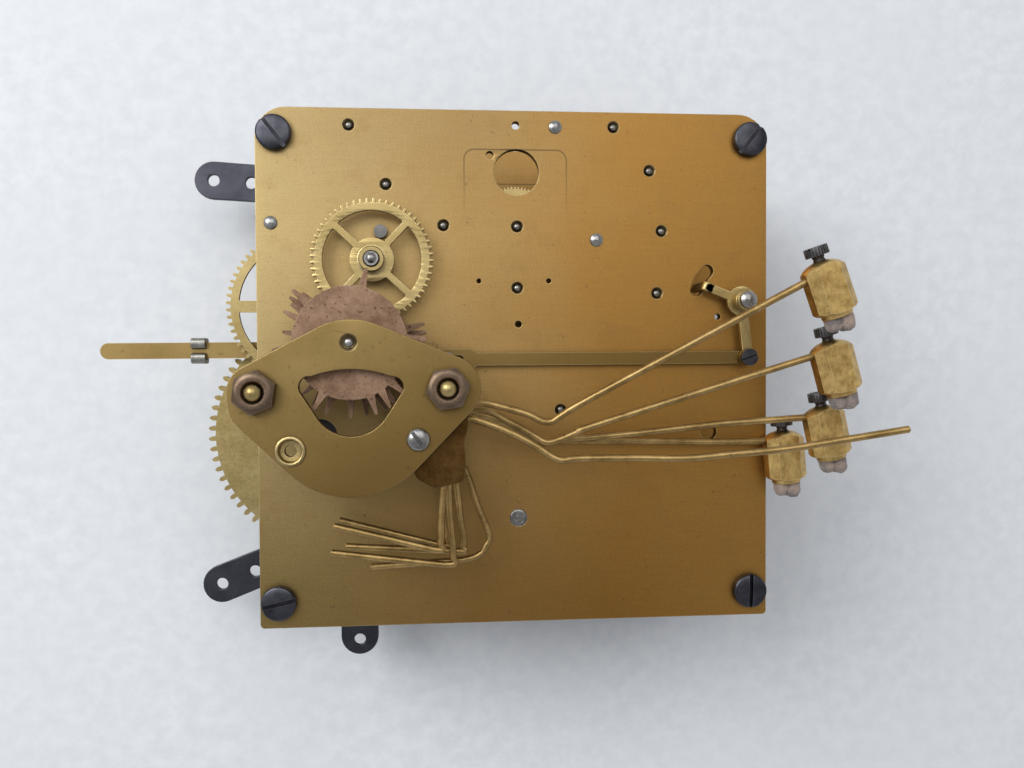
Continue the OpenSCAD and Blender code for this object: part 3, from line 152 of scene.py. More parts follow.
def evaluated(holder):
    """Shape of a temporary object with its modifiers applied, and the object deleted."""
    depsgraph = bpy.context.evaluated_depsgraph_get()
    mesh = bpy.data.meshes.new_from_object(holder.evaluated_get(depsgraph))
    shape = mesh_shape(mesh)
    bpy.data.objects.remove(holder)
    bpy.data.meshes.remove(mesh)
    return shape


JOIN_WITHIN = 1e-4


def closed(shape):
    """The shape with its doubled points joined and its faces turned outwards."""
    mesh = new_mesh("closed", *shape)
    work = bmesh.new()
    work.from_mesh(mesh)
    bmesh.ops.remove_doubles(work, verts=work.verts, dist=JOIN_WITHIN)
    bmesh.ops.recalc_face_normals(work, faces=work.faces)
    work.to_mesh(mesh)
    work.free()
    result = mesh_shape(mesh)
    bpy.data.meshes.remove(mesh)
    return result


def combined(shape, tool, operation):
    """Boolean of two closed shapes: INTERSECT, DIFFERENCE or UNION."""
    base = temporary(shape)
    other = temporary(tool)
    step = base.modifiers.new("combined", "BOOLEAN")
    step.operation = operation
    step.object = other
    step.solver = "EXACT"
    result = evaluated(base)
    bpy.data.objects.remove(other)
    return result


def bevelled(shape, width, segments, angle):
    """The shape with its edges that turn by more than angle rounded."""
    holder = temporary(shape)
    step = holder.modifiers.new("edges", "BEVEL")
    step.width = width
    step.segments = segments
    step.limit_method = "ANGLE"
    step.angle_limit = math.radians(angle)
    return evaluated(holder)


def layered(loops, z0, z1, bevel, steps=1):
    """Flat plate between two heights from an outline and its holes, with rounded edges."""
    curve = bpy.data.curves.new("outline", "CURVE")
    curve.dimensions = "2D"
    curve.fill_mode = "BOTH"
    curve.extrude = (z1 - z0) / 2 - bevel
    curve.bevel_depth = bevel
    curve.bevel_resolution = steps
    curve.offset = -bevel
    for loop in loops:
        spline = curve.splines.new("POLY")
        spline.points.add(len(loop) - 1)
        for point, place in zip(spline.points, loop):
            point.co = (place[0], place[1], 0, 1)
        spline.use_cyclic_u = True
    shape = evaluated(new_object("outline", curve))
    bpy.data.curves.remove(curve)
    return placed(shape, at(0, 0, (z0 + z1) / 2))


def ring_faces(rings, steps):
    """Four-sided faces between rings of points that follow one another."""
    faces = []
    for i in range(rings - 1):
        for k in range(steps):
            n = (k + 1) % steps
            faces.append([i * steps + k, i * steps + n, (i + 1) * steps + n, (i + 1) * steps + k])
    return faces


def lathe(profile, centre, steps, base=0.0):
    """Turned shape from (radius, height over base) points; a ring if no end of them is on the axis."""
    points, rows = [], []
    for radius, height in profile:
        if radius == 0:
            rows.append([len(points)] * steps)
            points.append(Vector((centre[0], centre[1], base + height)))
            continue
        rows.append(list(range(len(points), len(points) + steps)))
        points += [(p.x, p.y, base + height) for p in circle(centre, radius, steps)]
    pairs = list(zip(rows, rows[1:]))
    if profile[0][0] and profile[-1][0]:
        pairs.append((rows[-1], rows[0]))
    faces = []
    for lower, upper in pairs:
        for k in range(steps):
            n = (k + 1) % steps
            corners = [lower[k], lower[n], upper[n], upper[k]]
            face = [c for i, c in enumerate(corners) if c not in corners[:i]]
            if len(face) > 2:
                faces.append(face)
    return points, faces


def sweep(route, radius, sides, end_round=0.25):
    """Round rod along a route, with the edges of its ends rounded."""
    first = (route[1] - route[0]).normalized()
    last = (route[-1] - route[-2]).normalized()
    stations = [(route[0], radius - end_round), (route[0] + first * end_round, radius)]
    stations += [(p, radius) for p in route[1:-1]]
    stations += [(route[-1] - last * end_round, radius), (route[-1], radius - end_round)]
    points = []
    side = first.orthogonal().normalized()
    for i, (place, r) in enumerate(stations):
        ahead = stations[min(i + 1, len(stations) - 1)][0]
        behind = stations[max(i - 1, 0)][0]
        along = (ahead - behind).normalized()
        side = (side - along * side.dot(along)).normalized()
        up = along.cross(side)
        for k in range(sides):
            a = math.tau * k / sides
            points.append(place + side * r * math.cos(a) + up * r * math.sin(a))
    faces = ring_faces(len(stations), sides)
    faces.append(list(range(sides))[::-1])
    faces.append(list(range(len(points) - sides, len(points))))
    return points, faces


SPLINE_STEPS = 6
STRAIGHT = 15


def smooth_route(points):
    """Spline through a route's points, where stretches longer than STRAIGHT stay straight."""
    points = [Vector(p) for p in points]
    route = []
    for i in range(len(points) - 1):
        b, c = points[i], points[i + 1]
        a = points[max(i - 1, 0)]
        d = points[min(i + 2, len(points) - 1)]
        if (c - b).length > STRAIGHT:
            route.append(b)
            continue
        for k in range(SPLINE_STEPS):
            t = k / SPLINE_STEPS
            bend = (2 * a - 5 * b + 4 * c - d) * t ** 2 + (3 * b - a - 3 * c + d) * t ** 3
            route.append(0.5 * (2 * b + (c - a) * t + bend))
    route.append(points[-1])
    return route


def prism(section, low, high):
    """Upright prism on a closed section."""
    n = len(section)
    faces = [list(range(n))[::-1], list(range(n, 2 * n))]
    faces += [[k, (k + 1) % n, (k + 1) % n + n, k + n] for k in range(n)]
    return [(p[0], p[1], z) for z in (low, high) for p in section], faces


# Outlines, whose angles are in degrees
def polar(r, a):
    return Vector((r * math.cos(math.radians(a)), r * math.sin(math.radians(a))))


def circle(c, r, n):
    return [Vector(c) + polar(r, 360 * k / n) for k in range(n)]


def arc(c, r, a0, a1, n):
    return [Vector(c) + polar(r, a0 + (a1 - a0) * k / n) for k in range(n + 1)]


def heading(a, b):
    return math.degrees(math.atan2(b[1] - a[1], b[0] - a[0]))


def around(discs, n=20):
    """Outline round a ring of discs given as x, y, radius, counter-clockwise."""
    tangents = []
    for i, a in enumerate(discs):
        b = discs[(i + 1) % len(discs)]
        reach = math.dist(a[:2], b[:2])
        tangents.append(heading(a, b) - math.degrees(math.acos((a[2] - b[2]) / reach)))
    loop = []
    for i, disc in enumerate(discs):
        start = tangents[i - 1]
        turn = (tangents[i] - start) % 360
        loop += arc(disc[:2], disc[2], start, start + turn, max(2, int(n * turn / 180)))
    return loop


def rounded(corners, r, n=4):
    """Closed outline with its corners rounded to about r."""
    loop = []
    for i, corner in enumerate(corners):
        corner = Vector(corner)
        before = Vector(corners[i - 1]) - corner
        after = Vector(corners[(i + 1) % len(corners)]) - corner
        reach = min(r, before.length * 0.45, after.length * 0.45)
        a, b = corner + before.normalized() * reach, corner + after.normalized() * reach
        for k in range(n + 1):
            t = k / n
            loop.append(a * (1 - t) ** 2 + corner * 2 * t * (1 - t) + b * t ** 2)
    return loop


# Flank of a tooth as heights in modules and shares of the half tooth
FLANK = [(-1.15, 0.98), (0, 1), (0.45, 0.76), (0.9, 0.16)]
TOOTH_SHARE = 0.225


def teeth(c, n, module, phase):
    """Outline of a wheel with n teeth, one of them at the angle phase."""
    loop = []
    for i in range(n):
        for height, side in [(h, -s) for h, s in FLANK] + FLANK[::-1]:
            a = phase + (i + side * TOOTH_SHARE) * 360 / n
            loop.append(Vector(c) + polar((n / 2 + height) * module, a))
    return loop


def crossings(c, rim, hub, spokes, width, turn):
    """Openings between the spokes of a wheel, their corners rounded a little."""
    loops = []
    for i in range(spokes):
        outer = math.degrees(math.asin(width / 2 / rim))
        inner = math.degrees(math.asin(width / 2 / hub))
        a0, a1 = turn + i * 360 / spokes, turn + (i + 1) * 360 / spokes
        corners = arc(c, rim, a0 + outer, a1 - outer, 14) + arc(c, hub, a1 - inner, a0 + inner, 14)
        loops.append(rounded(corners, 0.35, 2))
    return loops


# Materials
def add(tree, kind, settings=None, **inputs):
    """Adds a shader node and sets or links its inputs: Base_Color is an input's name, i0 its number."""
    node = tree.nodes.new("ShaderNode" + kind)
    for key, value in (settings or {}).items():
        setattr(node, key, value)
    for key, value in inputs.items():
        socket = node.inputs[int(key[1:])] if key[1:].isdigit() else node.inputs[key.replace("_", " ")]
        if isinstance(value, bpy.types.NodeSocket):
            tree.links.new(value, socket)
        else:
            socket.default_value = value
    return node


def calc(tree, operation, a, b=0.0):
    return add(tree, "Math", {"operation": operation}, i0=a, i1=b).outputs[0]


def times(tree, a, b):
    return calc(tree, "MULTIPLY", a, b)


def blend(tree, a, b, share):
    """Sum of two masks, where b has the given share."""
    return calc(tree, "ADD", times(tree, a, 1 - share), times(tree, b, share))


def remap(tree, value, from_low, from_high, to_low=0.0, to_high=1.0):
    node = add(tree, "MapRange", {"clamp": True}, Value=value, From_Min=from_low,
               From_Max=from_high, To_Min=to_low, To_Max=to_high)
    return node.outputs["Result"]


def millimetres(tree, stretch=(1, 1, 1)):
    """Object coordinates in millimetres, so a noise scale is in features a millimetre."""
    place = add(tree, "TexCoord").outputs["Object"]
    scale = tuple(s / MM for s in stretch)
    return add(tree, "Mapping", Vector=place, Scale=scale).outputs["Vector"]


def cloud(tree, place, scale, detail, rough):
    return add(tree, "TexNoise", Vector=place, Scale=scale, Detail=detail, Roughness=rough).outputs["Fac"]


def mix(tree, factor, a, b):
    """Colour between a and b."""
    node = add(tree, "Mix", {"data_type": "RGBA"})
    for socket, value in zip((node.inputs[0], node.inputs[6], node.inputs[7]), (factor, a, b)):
        if isinstance(value, bpy.types.NodeSocket):
            tree.links.new(value, socket)
        else:
            socket.default_value = value if isinstance(value, float) else (*value, 1)
    return node.outputs[2]


def edge_highlight_and_wear(tree, width, share):
    """The share where the surface turns over an edge within width, 0 on flat surfaces: where paler edges are
    painted, partly as wear and partly as a painted highlight.
    """
    rounded_normal = add(tree, "Bevel", {"samples": 4}, Radius=width * MM).outputs[0]
    flat_normal = add(tree, "NewGeometry").outputs["Normal"]
    same = add(tree, "VectorMath", {"operation": "DOT_PRODUCT"}, i0=rounded_normal, i1=flat_normal)
    return remap(tree, same.outputs["Value"], 0.995, 0.9, 0.0, share)


def crevice_shade_and_dirt(tree, reach, share):
    """The share deep in corners, slots and gaps narrower than reach, 0 on open surfaces: painted shade from
    ambient occlusion, which also stands for dirt there.
    """
    open_sky = add(tree, "AmbientOcclusion", {"samples": 6}, Distance=reach * MM).outputs["AO"]
    return remap(tree, open_sky, 0.82, 0.3, 0.0, share)


def new_material(name):
    material = bpy.data.materials.new(name)
    material.use_nodes = True
    tree = material.node_tree
    tree.nodes.clear()
    return material, tree


def metal_surface(tree, colour, roughness, height, bump, coat=0.0, coat_rough=0.25):
    """Ends a metal's tree: colour, roughness and height are sockets."""
    bumped = add(tree, "Bump", Strength=bump, Distance=0.03 * MM, Height=height)
    shader = add(tree, "BsdfPrincipled", Base_Color=colour, Metallic=1.0, Roughness=roughness,
                 Normal=bumped.outputs["Normal"], Coat_Weight=coat, Coat_Roughness=coat_rough)
    add(tree, "OutputMaterial", Surface=shader.outputs[0])


def metal(name, dark, light, rough, patch, grain=2.2, stretch=(1, 1, 1), speck=0.25, speck_colour=None,
          bump=0.25, edge=None, edge_width=0.22, coat=0.0, lower_right_shade=None):
    """Aged metal: soft patches, fine grain, specks of tarnish, painted shade in corners that also stands for dirt,
    and paler edges that are partly wear and partly a painted highlight.

    The last argument is a painted shade: the colour towards the lower right of the movement, away from the light.
    """
    material, tree = new_material(name)
    place = millimetres(tree)
    patches = cloud(tree, place, 1 / patch, 4.0, 0.6)
    fine = cloud(tree, millimetres(tree, stretch), grain, 4.0, 0.65)
    mixed = blend(tree, patches, fine, 0.32)
    colour = mix(tree, remap(tree, mixed, 0.36, 0.64), dark, light)
    # Painted shade: darker towards the lower right, away from the light.
    if lower_right_shade:
        xyz = add(tree, "SeparateXYZ", Vector=place).outputs
        slant = calc(tree, "SUBTRACT", times(tree, xyz[0], 0.5), xyz[1])
        colour = mix(tree, remap(tree, slant, -6.0, 24.0, 0.0, 0.9), colour, lower_right_shade)
    spots = remap(tree, cloud(tree, place, 0.85, 2.0, 0.5), 0.66, 0.74, 0.0, speck)
    colour = mix(tree, spots, colour, speck_colour or tuple(c * 0.3 for c in dark))
    # Paler edges, partly wear and partly a painted highlight.
    if edge:
        colour = mix(tree, edge_highlight_and_wear(tree, edge_width, 0.75), colour, edge)
    # Painted shade in corners, slots and gaps, which also stands for dirt there.
    colour = mix(tree, crevice_shade_and_dirt(tree, 1.4, 0.7), colour, tuple(c * 0.25 for c in dark))
    roughness = remap(tree, fine, 0.3, 0.7, rough - 0.07, rough + 0.09)
    metal_surface(tree, colour, roughness, fine, bump, coat)
    return material


def box_line(tree, place, centre, half, r, width):
    """1 on the outline of a rounded rectangle in the plate's plane, fading downwards."""
    xyz = add(tree, "SeparateXYZ", Vector=place).outputs
    parts = []
    for k in range(2):
        off = calc(tree, "ABSOLUTE", calc(tree, "SUBTRACT", xyz[k], centre[k]))
        parts.append(calc(tree, "MAXIMUM", calc(tree, "SUBTRACT", off, half[k] - r), 0.0))
    squares = [times(tree, p, p) for p in parts]
    reach = calc(tree, "SQRT", calc(tree, "ADD", squares[0], squares[1]))
    off_line = calc(tree, "ABSOLUTE", calc(tree, "SUBTRACT", reach, r))
    line = remap(tree, off_line, width, width * 0.4)
    return times(tree, line, remap(tree, xyz[1], centre[1] - half[1] * 0.1, centre[1] + half[1]))


def plate_brass():
    """Back plate: paler and yellower on the left and orange-brown on the right, partly its own tone and partly
    painted light from the left, with painted shade at the upper left and olive at the lower left.
    """
    material, tree = new_material("aged_plate_brass")
    place = millimetres(tree)
    xyz = add(tree, "SeparateXYZ", Vector=place).outputs
    patches = cloud(tree, place, 1 / 26, 3.0, 0.55)
    fine = cloud(tree, place, 2.4, 4.0, 0.7)
    grain = cloud(tree, millimetres(tree, (0.12, 2.6, 1)), 1.0, 3.0, 0.6)
    wander = times(tree, calc(tree, "SUBTRACT", patches, 0.5), 46.0)
    # Paler and yellower on the left, orange-brown on the right: partly the plate's own tone, partly painted light
    # falling from the left.
    across = remap(tree, calc(tree, "ADD", xyz[0], wander), -58.0, 26.0)
    colour = mix(tree, across, (0.42, 0.31, 0.14), (0.345, 0.18, 0.042))
    down = remap(tree, calc(tree, "ADD", xyz[1], times(tree, wander, 0.6)), -28.0, -74.0)
    olive = times(tree, down, remap(tree, xyz[0], 20.0, -40.0))
    colour = mix(tree, times(tree, olive, 0.75), colour, (0.2, 0.13, 0.036))
    middle = times(tree, remap(tree, xyz[0], -45.0, -10.0), remap(tree, xyz[0], 55.0, 20.0))
    amber = times(tree, times(tree, down, middle), 0.55)
    colour = mix(tree, amber, colour, (0.2, 0.088, 0.013))
    # Painted shade: darker at the upper left, toning down the light that falls strongest there.
    upper = times(tree, remap(tree, xyz[1], 12.0, 36.0), remap(tree, xyz[0], 26.0, -10.0))
    colour = mix(tree, times(tree, upper, 0.4), colour, (0.2, 0.14, 0.06))
    weave = cloud(tree, millimetres(tree, (3.4, 0.5, 1)), 1.0, 3.0, 0.6)
    lines = times(tree, calc(tree, "ADD", grain, weave), 0.3)
    shade = remap(tree, calc(tree, "ADD", times(tree, fine, 1.2), lines), 0.65, 1.15, 0.84, 1.13)
    toned = add(tree, "VectorMath", {"operation": "SCALE"}, i0=colour, Scale=shade).outputs[0]
    stains = remap(tree, cloud(tree, place, 0.13, 6.0, 0.7), 0.53, 0.7, 0.0, 0.34)
    toned = mix(tree, stains, toned, (0.25, 0.145, 0.05))
    spots = remap(tree, cloud(tree, place, 0.9, 2.0, 0.5), 0.70, 0.78, 0.0, 0.55)
    toned = mix(tree, spots, toned, (0.12, 0.075, 0.035))
    # Painted shade in holes, corners and gaps, dark brown, which also stands for dirt there.
    toned = mix(tree, crevice_shade_and_dirt(tree, 1.8, 0.75), toned, (0.1, 0.055, 0.02))
    witness = box_line(tree, place, (-0.3, 17.0), (12.0, 15.2), 2.4, 0.22)
    toned = mix(tree, times(tree, witness, 0.85), toned, (0.12, 0.08, 0.035))
    # Paler edges of the plate, partly worn brass and partly a painted highlight.
    toned = mix(tree, edge_highlight_and_wear(tree, 0.25, 0.7), toned, (0.7, 0.57, 0.3))
    roughness = remap(tree, fine, 0.3, 0.7, 0.4, 0.52)
    metal_surface(tree, toned, roughness, fine, 0.28, coat=0.12, coat_rough=0.35)
    return material


def copper_brown():
    """Heat-browned copper with a pale mauve bloom and dark freckles."""
    material, tree = new_material("browned_copper")
    place = millimetres(tree)
    patches = cloud(tree, place, 0.16, 5.0, 0.65)
    fine = cloud(tree, place, 1.7, 4.0, 0.7)
    mixed = blend(tree, patches, fine, 0.4)
    colour = mix(tree, remap(tree, mixed, 0.38, 0.62), (0.17, 0.098, 0.06), (0.34, 0.218, 0.145))
    bloom = remap(tree, cloud(tree, place, 0.5, 3.0, 0.6), 0.5, 0.75, 0.0, 0.4)
    colour = mix(tree, bloom, colour, (0.37, 0.265, 0.19))
    freckles = remap(tree, cloud(tree, place, 1.3, 1.0, 0.4), 0.66, 0.72, 0.0, 0.7)
    colour = mix(tree, freckles, colour, (0.075, 0.035, 0.02))
    # Paler edges, partly wear and partly a painted highlight.
    colour = mix(tree, edge_highlight_and_wear(tree, 0.15, 0.5), colour, (0.62, 0.42, 0.26))
    metal_surface(tree, colour, remap(tree, fine, 0.3, 0.7, 0.5, 0.66), fine, 0.35)
    return material


def leather():
    """Worn hammer leather with matted fibres, pink-buff and grey."""
    material, tree = new_material("worn_leather")
    place = millimetres(tree)
    fibres = cloud(tree, millimetres(tree, (1, 3.2, 1)), 1.6, 5.0, 0.75)
    patches = cloud(tree, place, 0.28, 2.0, 0.5)
    colour = mix(tree, remap(tree, patches, 0.42, 0.58), (0.15, 0.122, 0.115), (0.34, 0.245, 0.19))
    colour = mix(tree, remap(tree, fibres, 0.4, 0.75, 0.0, 0.75), colour, (0.42, 0.37, 0.34))
    grime = remap(tree, cloud(tree, place, 1.1, 3.0, 0.6), 0.55, 0.75, 0.0, 0.6)
    colour = mix(tree, grime, colour, (0.11, 0.09, 0.085))
    bumped = add(tree, "Bump", Strength=0.8, Distance=0.12 * MM, Height=fibres)
    shader = add(tree, "BsdfPrincipled", Base_Color=colour, Roughness=0.93,
                 Sheen_Weight=0.35, Normal=bumped.outputs["Normal"])
    add(tree, "OutputMaterial", Surface=shader.outputs[0])
    return material


BACKDROP = (0.87, 0.89, 0.92, 1)
BACKDROP_STRENGTH = 0.5
HORIZON_STRENGTH = 0.8


def seen_rays(tree):
    """1 for what the camera, metal and glass see, 0 for light on the object."""
    rays = add(tree, "LightPath").outputs
    shiny = calc(tree, "MAXIMUM", rays["Is Glossy Ray"], rays["Is Transmission Ray"])
    return calc(tree, "MAXIMUM", rays["Is Camera Ray"], shiny)


def painted_board():
    """Pale painted board under the movement, with a faint skin of brush and roller marks."""
    material, tree = new_material("pale_board")
    place = millimetres(tree)
    marks = cloud(tree, place, 0.2, 6.0, 0.62)
    soft = cloud(tree, place, 0.018, 3.0, 0.5)
    colour = mix(tree, remap(tree, marks, 0.38, 0.62), (0.765, 0.785, 0.815), (0.83, 0.845, 0.865))
    colour = mix(tree, remap(tree, soft, 0.4, 0.65, 0.0, 0.5), colour, (0.79, 0.805, 0.83))
    bumped = add(tree, "Bump", Strength=0.35, Distance=0.6 * MM, Height=marks)
    shader = add(tree, "BsdfPrincipled", Base_Color=colour, Roughness=0.9,
                 Specular_IOR_Level=0.12, Normal=bumped.outputs["Normal"])
    far = add(tree, "VectorMath", {"operation": "LENGTH"}, i0=place).outputs["Value"]
    backdrop = times(tree, remap(tree, far, 220.0, 560.0), seen_rays(tree))
    glow = add(tree, "Emission", Color=BACKDROP, Strength=HORIZON_STRENGTH)
    mixed = add(tree, "MixShader", i0=backdrop, i1=shader.outputs[0], i2=glow.outputs[0])
    add(tree, "OutputMaterial", Surface=mixed.outputs[0])
    return material


MATERIALS = {
    "plate_brass": plate_brass(),
    "wheel_brass": metal("satin_wheel_brass", (0.35, 0.255, 0.1), (0.48, 0.37, 0.17), 0.38, patch=9,
                         edge=(0.86, 0.76, 0.48), edge_width=0.12, speck=0.3),
    # The bridge brass darkens towards the lower right as painted shade.
    "bridge_brass": metal("olive_bridge_brass", (0.23, 0.155, 0.052), (0.32, 0.22, 0.084), 0.44, patch=16,
                          grain=2.6, speck=0.35, edge=(0.58, 0.46, 0.23), coat=0.1,
                          lower_right_shade=(0.18, 0.11, 0.031)),
    "bronze_nut": metal("browned_bronze", (0.115, 0.078, 0.052), (0.21, 0.145, 0.1), 0.4, patch=4,
                        edge=(0.42, 0.31, 0.23), edge_width=0.3),
    "blued_steel": metal("blued_steel", (0.035, 0.035, 0.042), (0.085, 0.085, 0.1), 0.34, patch=5, grain=3,
                         edge=(0.2, 0.2, 0.23), edge_width=0.18, bump=0.18),
    "steel": metal("bright_steel", (0.2, 0.193, 0.185), (0.42, 0.41, 0.4), 0.28, patch=3, speck=0.45,
                   speck_colour=(0.12, 0.1, 0.09), bump=0.12),
    "dark_steel": metal("dark_steel", (0.1, 0.095, 0.09), (0.21, 0.2, 0.19), 0.38, patch=4,
                        edge=(0.34, 0.33, 0.31), edge_width=0.12),
    "spring_steel": metal("spring_steel", (0.13, 0.14, 0.165), (0.24, 0.25, 0.28), 0.3, patch=8, bump=0.1),
    "copper_brown": copper_brown(),
    "head_brass": metal("worn_head_brass", (0.38, 0.235, 0.075), (0.72, 0.5, 0.19), 0.4, patch=2.4,
                        grain=1.8, stretch=(1, 0.35, 1), speck=0.5, speck_colour=(0.16, 0.1, 0.045),
                        bump=0.4, edge=(0.9, 0.76, 0.4), edge_width=0.2),
    "leather": leather(),
}
ROD_BRASS = metal("drawn_rod_brass", (0.22, 0.14, 0.05), (0.46, 0.31, 0.125), 0.38, patch=5, grain=2.4,
                  stretch=(0.4, 1, 1), speck=0.4, speck_colour=(0.1, 0.06, 0.03), bump=0.3)
OIL = metal("oiled_brass", (0.14, 0.1, 0.05), (0.28, 0.205, 0.1), 0.32, patch=1.5, speck=0.5, bump=0.1)
PIVOT_STEEL = metal("worn_pivot_steel", (0.15, 0.14, 0.13), (0.33, 0.32, 0.3), 0.3, patch=1.2, speck=0.4,
                    bump=0.1)
LEVER_BRONZE = metal("browned_lever", (0.06, 0.028, 0.007), (0.13, 0.07, 0.022), 0.42, patch=4, grain=2.8,
                     speck=0.5, speck_colour=(0.05, 0.025, 0.012), bump=0.35, edge=(0.5, 0.35, 0.17),
                     edge_width=0.15)
GREY_STEEL = metal("scaled_steel", (0.07, 0.066, 0.066), (0.15, 0.142, 0.14), 0.5, patch=2.5, speck=0.4,
                   edge=(0.26, 0.25, 0.25), edge_width=0.15, bump=0.45)
STRAP_STEEL = metal("blackened_strap", (0.04, 0.04, 0.05), (0.075, 0.075, 0.09), 0.42, patch=9, grain=3,
                    edge=(0.3, 0.3, 0.34), edge_width=0.2, bump=0.2)
CLIP_STEEL = metal("dull_nickel", (0.2, 0.195, 0.175), (0.36, 0.35, 0.31), 0.38, patch=3,
                   edge=(0.6, 0.58, 0.52), edge_width=0.2)


def piece(name, shape, body, slot, replaces=None, finish=None, crease=32):
    """Turns a shape into a piece in metres that rides on a body; its finish is the slot's or its own."""
    points, faces = closed(shape)
    mesh = new_mesh(name, [p * MM for p in points], faces)
    mesh.shade_smooth()
    mesh.set_sharp_from_angle(angle=math.radians(crease))
    mesh.materials.append(finish or MATERIALS[slot])
    made = new_object(name, mesh)
    shading = made.modifiers.new("flat faces", "WEIGHTED_NORMAL")
    shading.weight = 100
    shading.keep_sharp = True
    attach(made, body)
    if replaces:
        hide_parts(replaces)


def dress_frame_nodes():
    """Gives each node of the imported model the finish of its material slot."""
    for part in frame["record"]["subparts"]:
        node = frame["nodes"][part["node"]]
        node.data.materials.clear()
        node.data.materials.append(MATERIALS[part["material_slot"]])


def dress_core(node, centre, reach, finish):
    """Gives another finish to a node's faces within reach of an upright axis."""
    mesh = frame["nodes"][node].data
    mesh.materials.append(MATERIALS[finish])
    for polygon in mesh.polygons:
        if (Vector(polygon.center[:2]) / MM - centre).length < reach:
            polygon.material_index = 1


STEEL_CORES = [body for body in PIVOTS if not body.endswith("fly")] + ["chime_third"]
CORE_REACH = 2.1
FOURTH_CORE_REACH = 1.6
POST_REACH = 3


def dress_cores():
    """The arbors and pinions of the wheels are steel, and the short post among the studs is dark."""
    for body in STEEL_CORES:
        reach = FOURTH_CORE_REACH if body == "fourth" else CORE_REACH
        dress_core(f"{body}_wheel", AT[body], reach, "steel")
    dress_core("steel_studs", SHORT_POST, POST_REACH, "dark_steel")


# Plates
def plate_outline():
    left, bottom, right, top = PLATE_LOW.x, PLATE_LOW.y, PLATE_HIGH.x, PLATE_HIGH.y
    low, high = PLATE_LOW_CORNER_R, PLATE_CORNER_R
    return around([
        (left + low, bottom + low, low), (right - low, bottom + low, low),
        (right - high, top - high, high), (left + high, top - high, high),
    ])


def pillar_places():
    low, high = PLATE_LOW.xy + PILLAR_INSET, PLATE_HIGH.xy - PILLAR_INSET
    return [Vector((low.x, high.y)), high, low, Vector((high.x, low.y))]


CRANK_SLOT_R = 10.4
CRANK_SLOT_W = 3.1
CRANK_SLOT_A = (135, 164)


def crank_slot():
    c, r, half = AT["crank"], CRANK_SLOT_R, CRANK_SLOT_W / 2
    a0, a1 = CRANK_SLOT_A
    loop = arc(c, r + half, a0, a1, 8)
    loop += arc(c + polar(r, a1), half, a1, a1 + 180, 8)[1:]
    loop += arc(c, r - half, a1, a0, 8)[1:]
    loop += arc(c + polar(r, a0), half, a0 + 180, a0 + 360, 8)[1:-1]
    return loop


# Other holes of the back plate as centre, radius and sides
PLATE_HOLES = [
    (AT["chime_third"], 1.65, 28), (AT["drum"], 0.75, 20), (AT["going_barrel"], 2.05, 32),
    (AT["chime_barrel"], 4.05, 48), (STRIKE_BARREL, 1.95, 32), (PLATFORM, 5.35, 64),
]


def back_plate():
    loops = [plate_outline()] + [circle(p, SCREW_HOLE_R, 24) for p in pillar_places()]
    loops += [circle(AT[body], SINK_R, 28) for body in PIVOTS]
    loops += [circle(*hole) for hole in PLATE_HOLES] + [crank_slot()]
    loops += [circle(h[:2], h[2], 20) for h in SMALL_HOLES]
    loops += [circle(c, STUD_HOLE_R, 28) for c in PLATE_STUDS]
    return layered(loops, BACK_IN, BACK, 0.14)


def sink_ring(centre, bore, r, low, high, rim, depth, steps, sides):
    """Dished ring that fills a pivot's round place in a plate, with the pivot hole in it."""
    seat, side, lip = low + 0.02, r - 0.005, high - 2 * rim
    profile = [(bore, seat), (side, seat), (side, lip - 0.04)]
    for k in range(1, steps + 1):
        t = k / steps
        profile.append((r - rim + (bore - r + rim) * t, lip - depth * math.sin(t * math.pi / 2)))
    return lathe(profile, centre, sides)


def oil_sink(body):
    return sink_ring(AT[body], PIVOT_HOLE_R, SINK_R, BACK_IN, BACK, 0.06, 0.53, 6, 32)


def pivot_tip(body):
    """Polished end of a pivot that stands in its sink."""
    r = PIVOT_R
    profile = [(0, 0), (r, 0), (r, 0.14), (r * 0.86, 0.26), (r * 0.5, 0.36), (0, 0.4)]
    return lathe(profile, AT[body], 24, BACK - 0.425)


def going_arbor_end():
    """Turned end of the going barrel's arbor, with a ring and a centre mark."""
    profile = [(0, -0.2), (1.99, -0.2), (1.99, 0.06), (1.8, 0.16), (1.35, 0.16), (1.2, 0.06), (0.95, 0.06),
               (0.8, 0.16), (0.3, 0.16), (0.2, 0.03), (0, 0.01)]
    return lathe(profile, AT["going_barrel"], 40, high_z("going_winding_arbor"))


def plates():
    piece("back_plate_finish", back_plate(), "frame", "plate_brass", "back_plate")
    for body in PIVOTS:
        piece(f"oil_sink_{body}", oil_sink(body), "frame", "plate_brass", finish=OIL)
        piece(f"pivot_tip_{body}", pivot_tip(body), body, "steel", finish=PIVOT_STEEL)
    piece("going_arbor_end", going_arbor_end(), "going_winding", "steel", finish=PIVOT_STEEL)


# Screws and straps
def slotted(shape, c, top, depth, width, turn, reach):
    """Cuts a screwdriver slot across a head."""
    w = width / 2
    box = prism([(-reach, -w), (reach, -w), (reach, w), (-reach, w)], top - depth, top + 1)
    return combined(shape, placed(box, at(c[0], c[1], 0, turn)), "DIFFERENCE")


def screw_head(c, z, r, h, slot_w, slot_depth, turn, crown):
    """Turned head with a chamfered rim, a low crown and a slot."""
    profile = [(0, 0), (r, 0), (r, h - 0.45), (r - 0.12, h - 0.22), (r - 0.45, h),
               (r * 0.6, h + crown * 0.6), (r * 0.3, h + crown * 0.93), (0, h + crown)]
    return slotted(lathe(profile, c, 48, z), c, z + h + crown, slot_depth, slot_w, turn, r + 1)


SLOT_TURNS = [128, 52, 12, 88]
SCREW_R = 1.7
SCREW_DEPTH = 8
STRAP_T = 1.6


def pillar_head(c, z, turn):
    return screw_head(c, z, 4, 2.0, 0.95, 1.1, turn, 0.2)


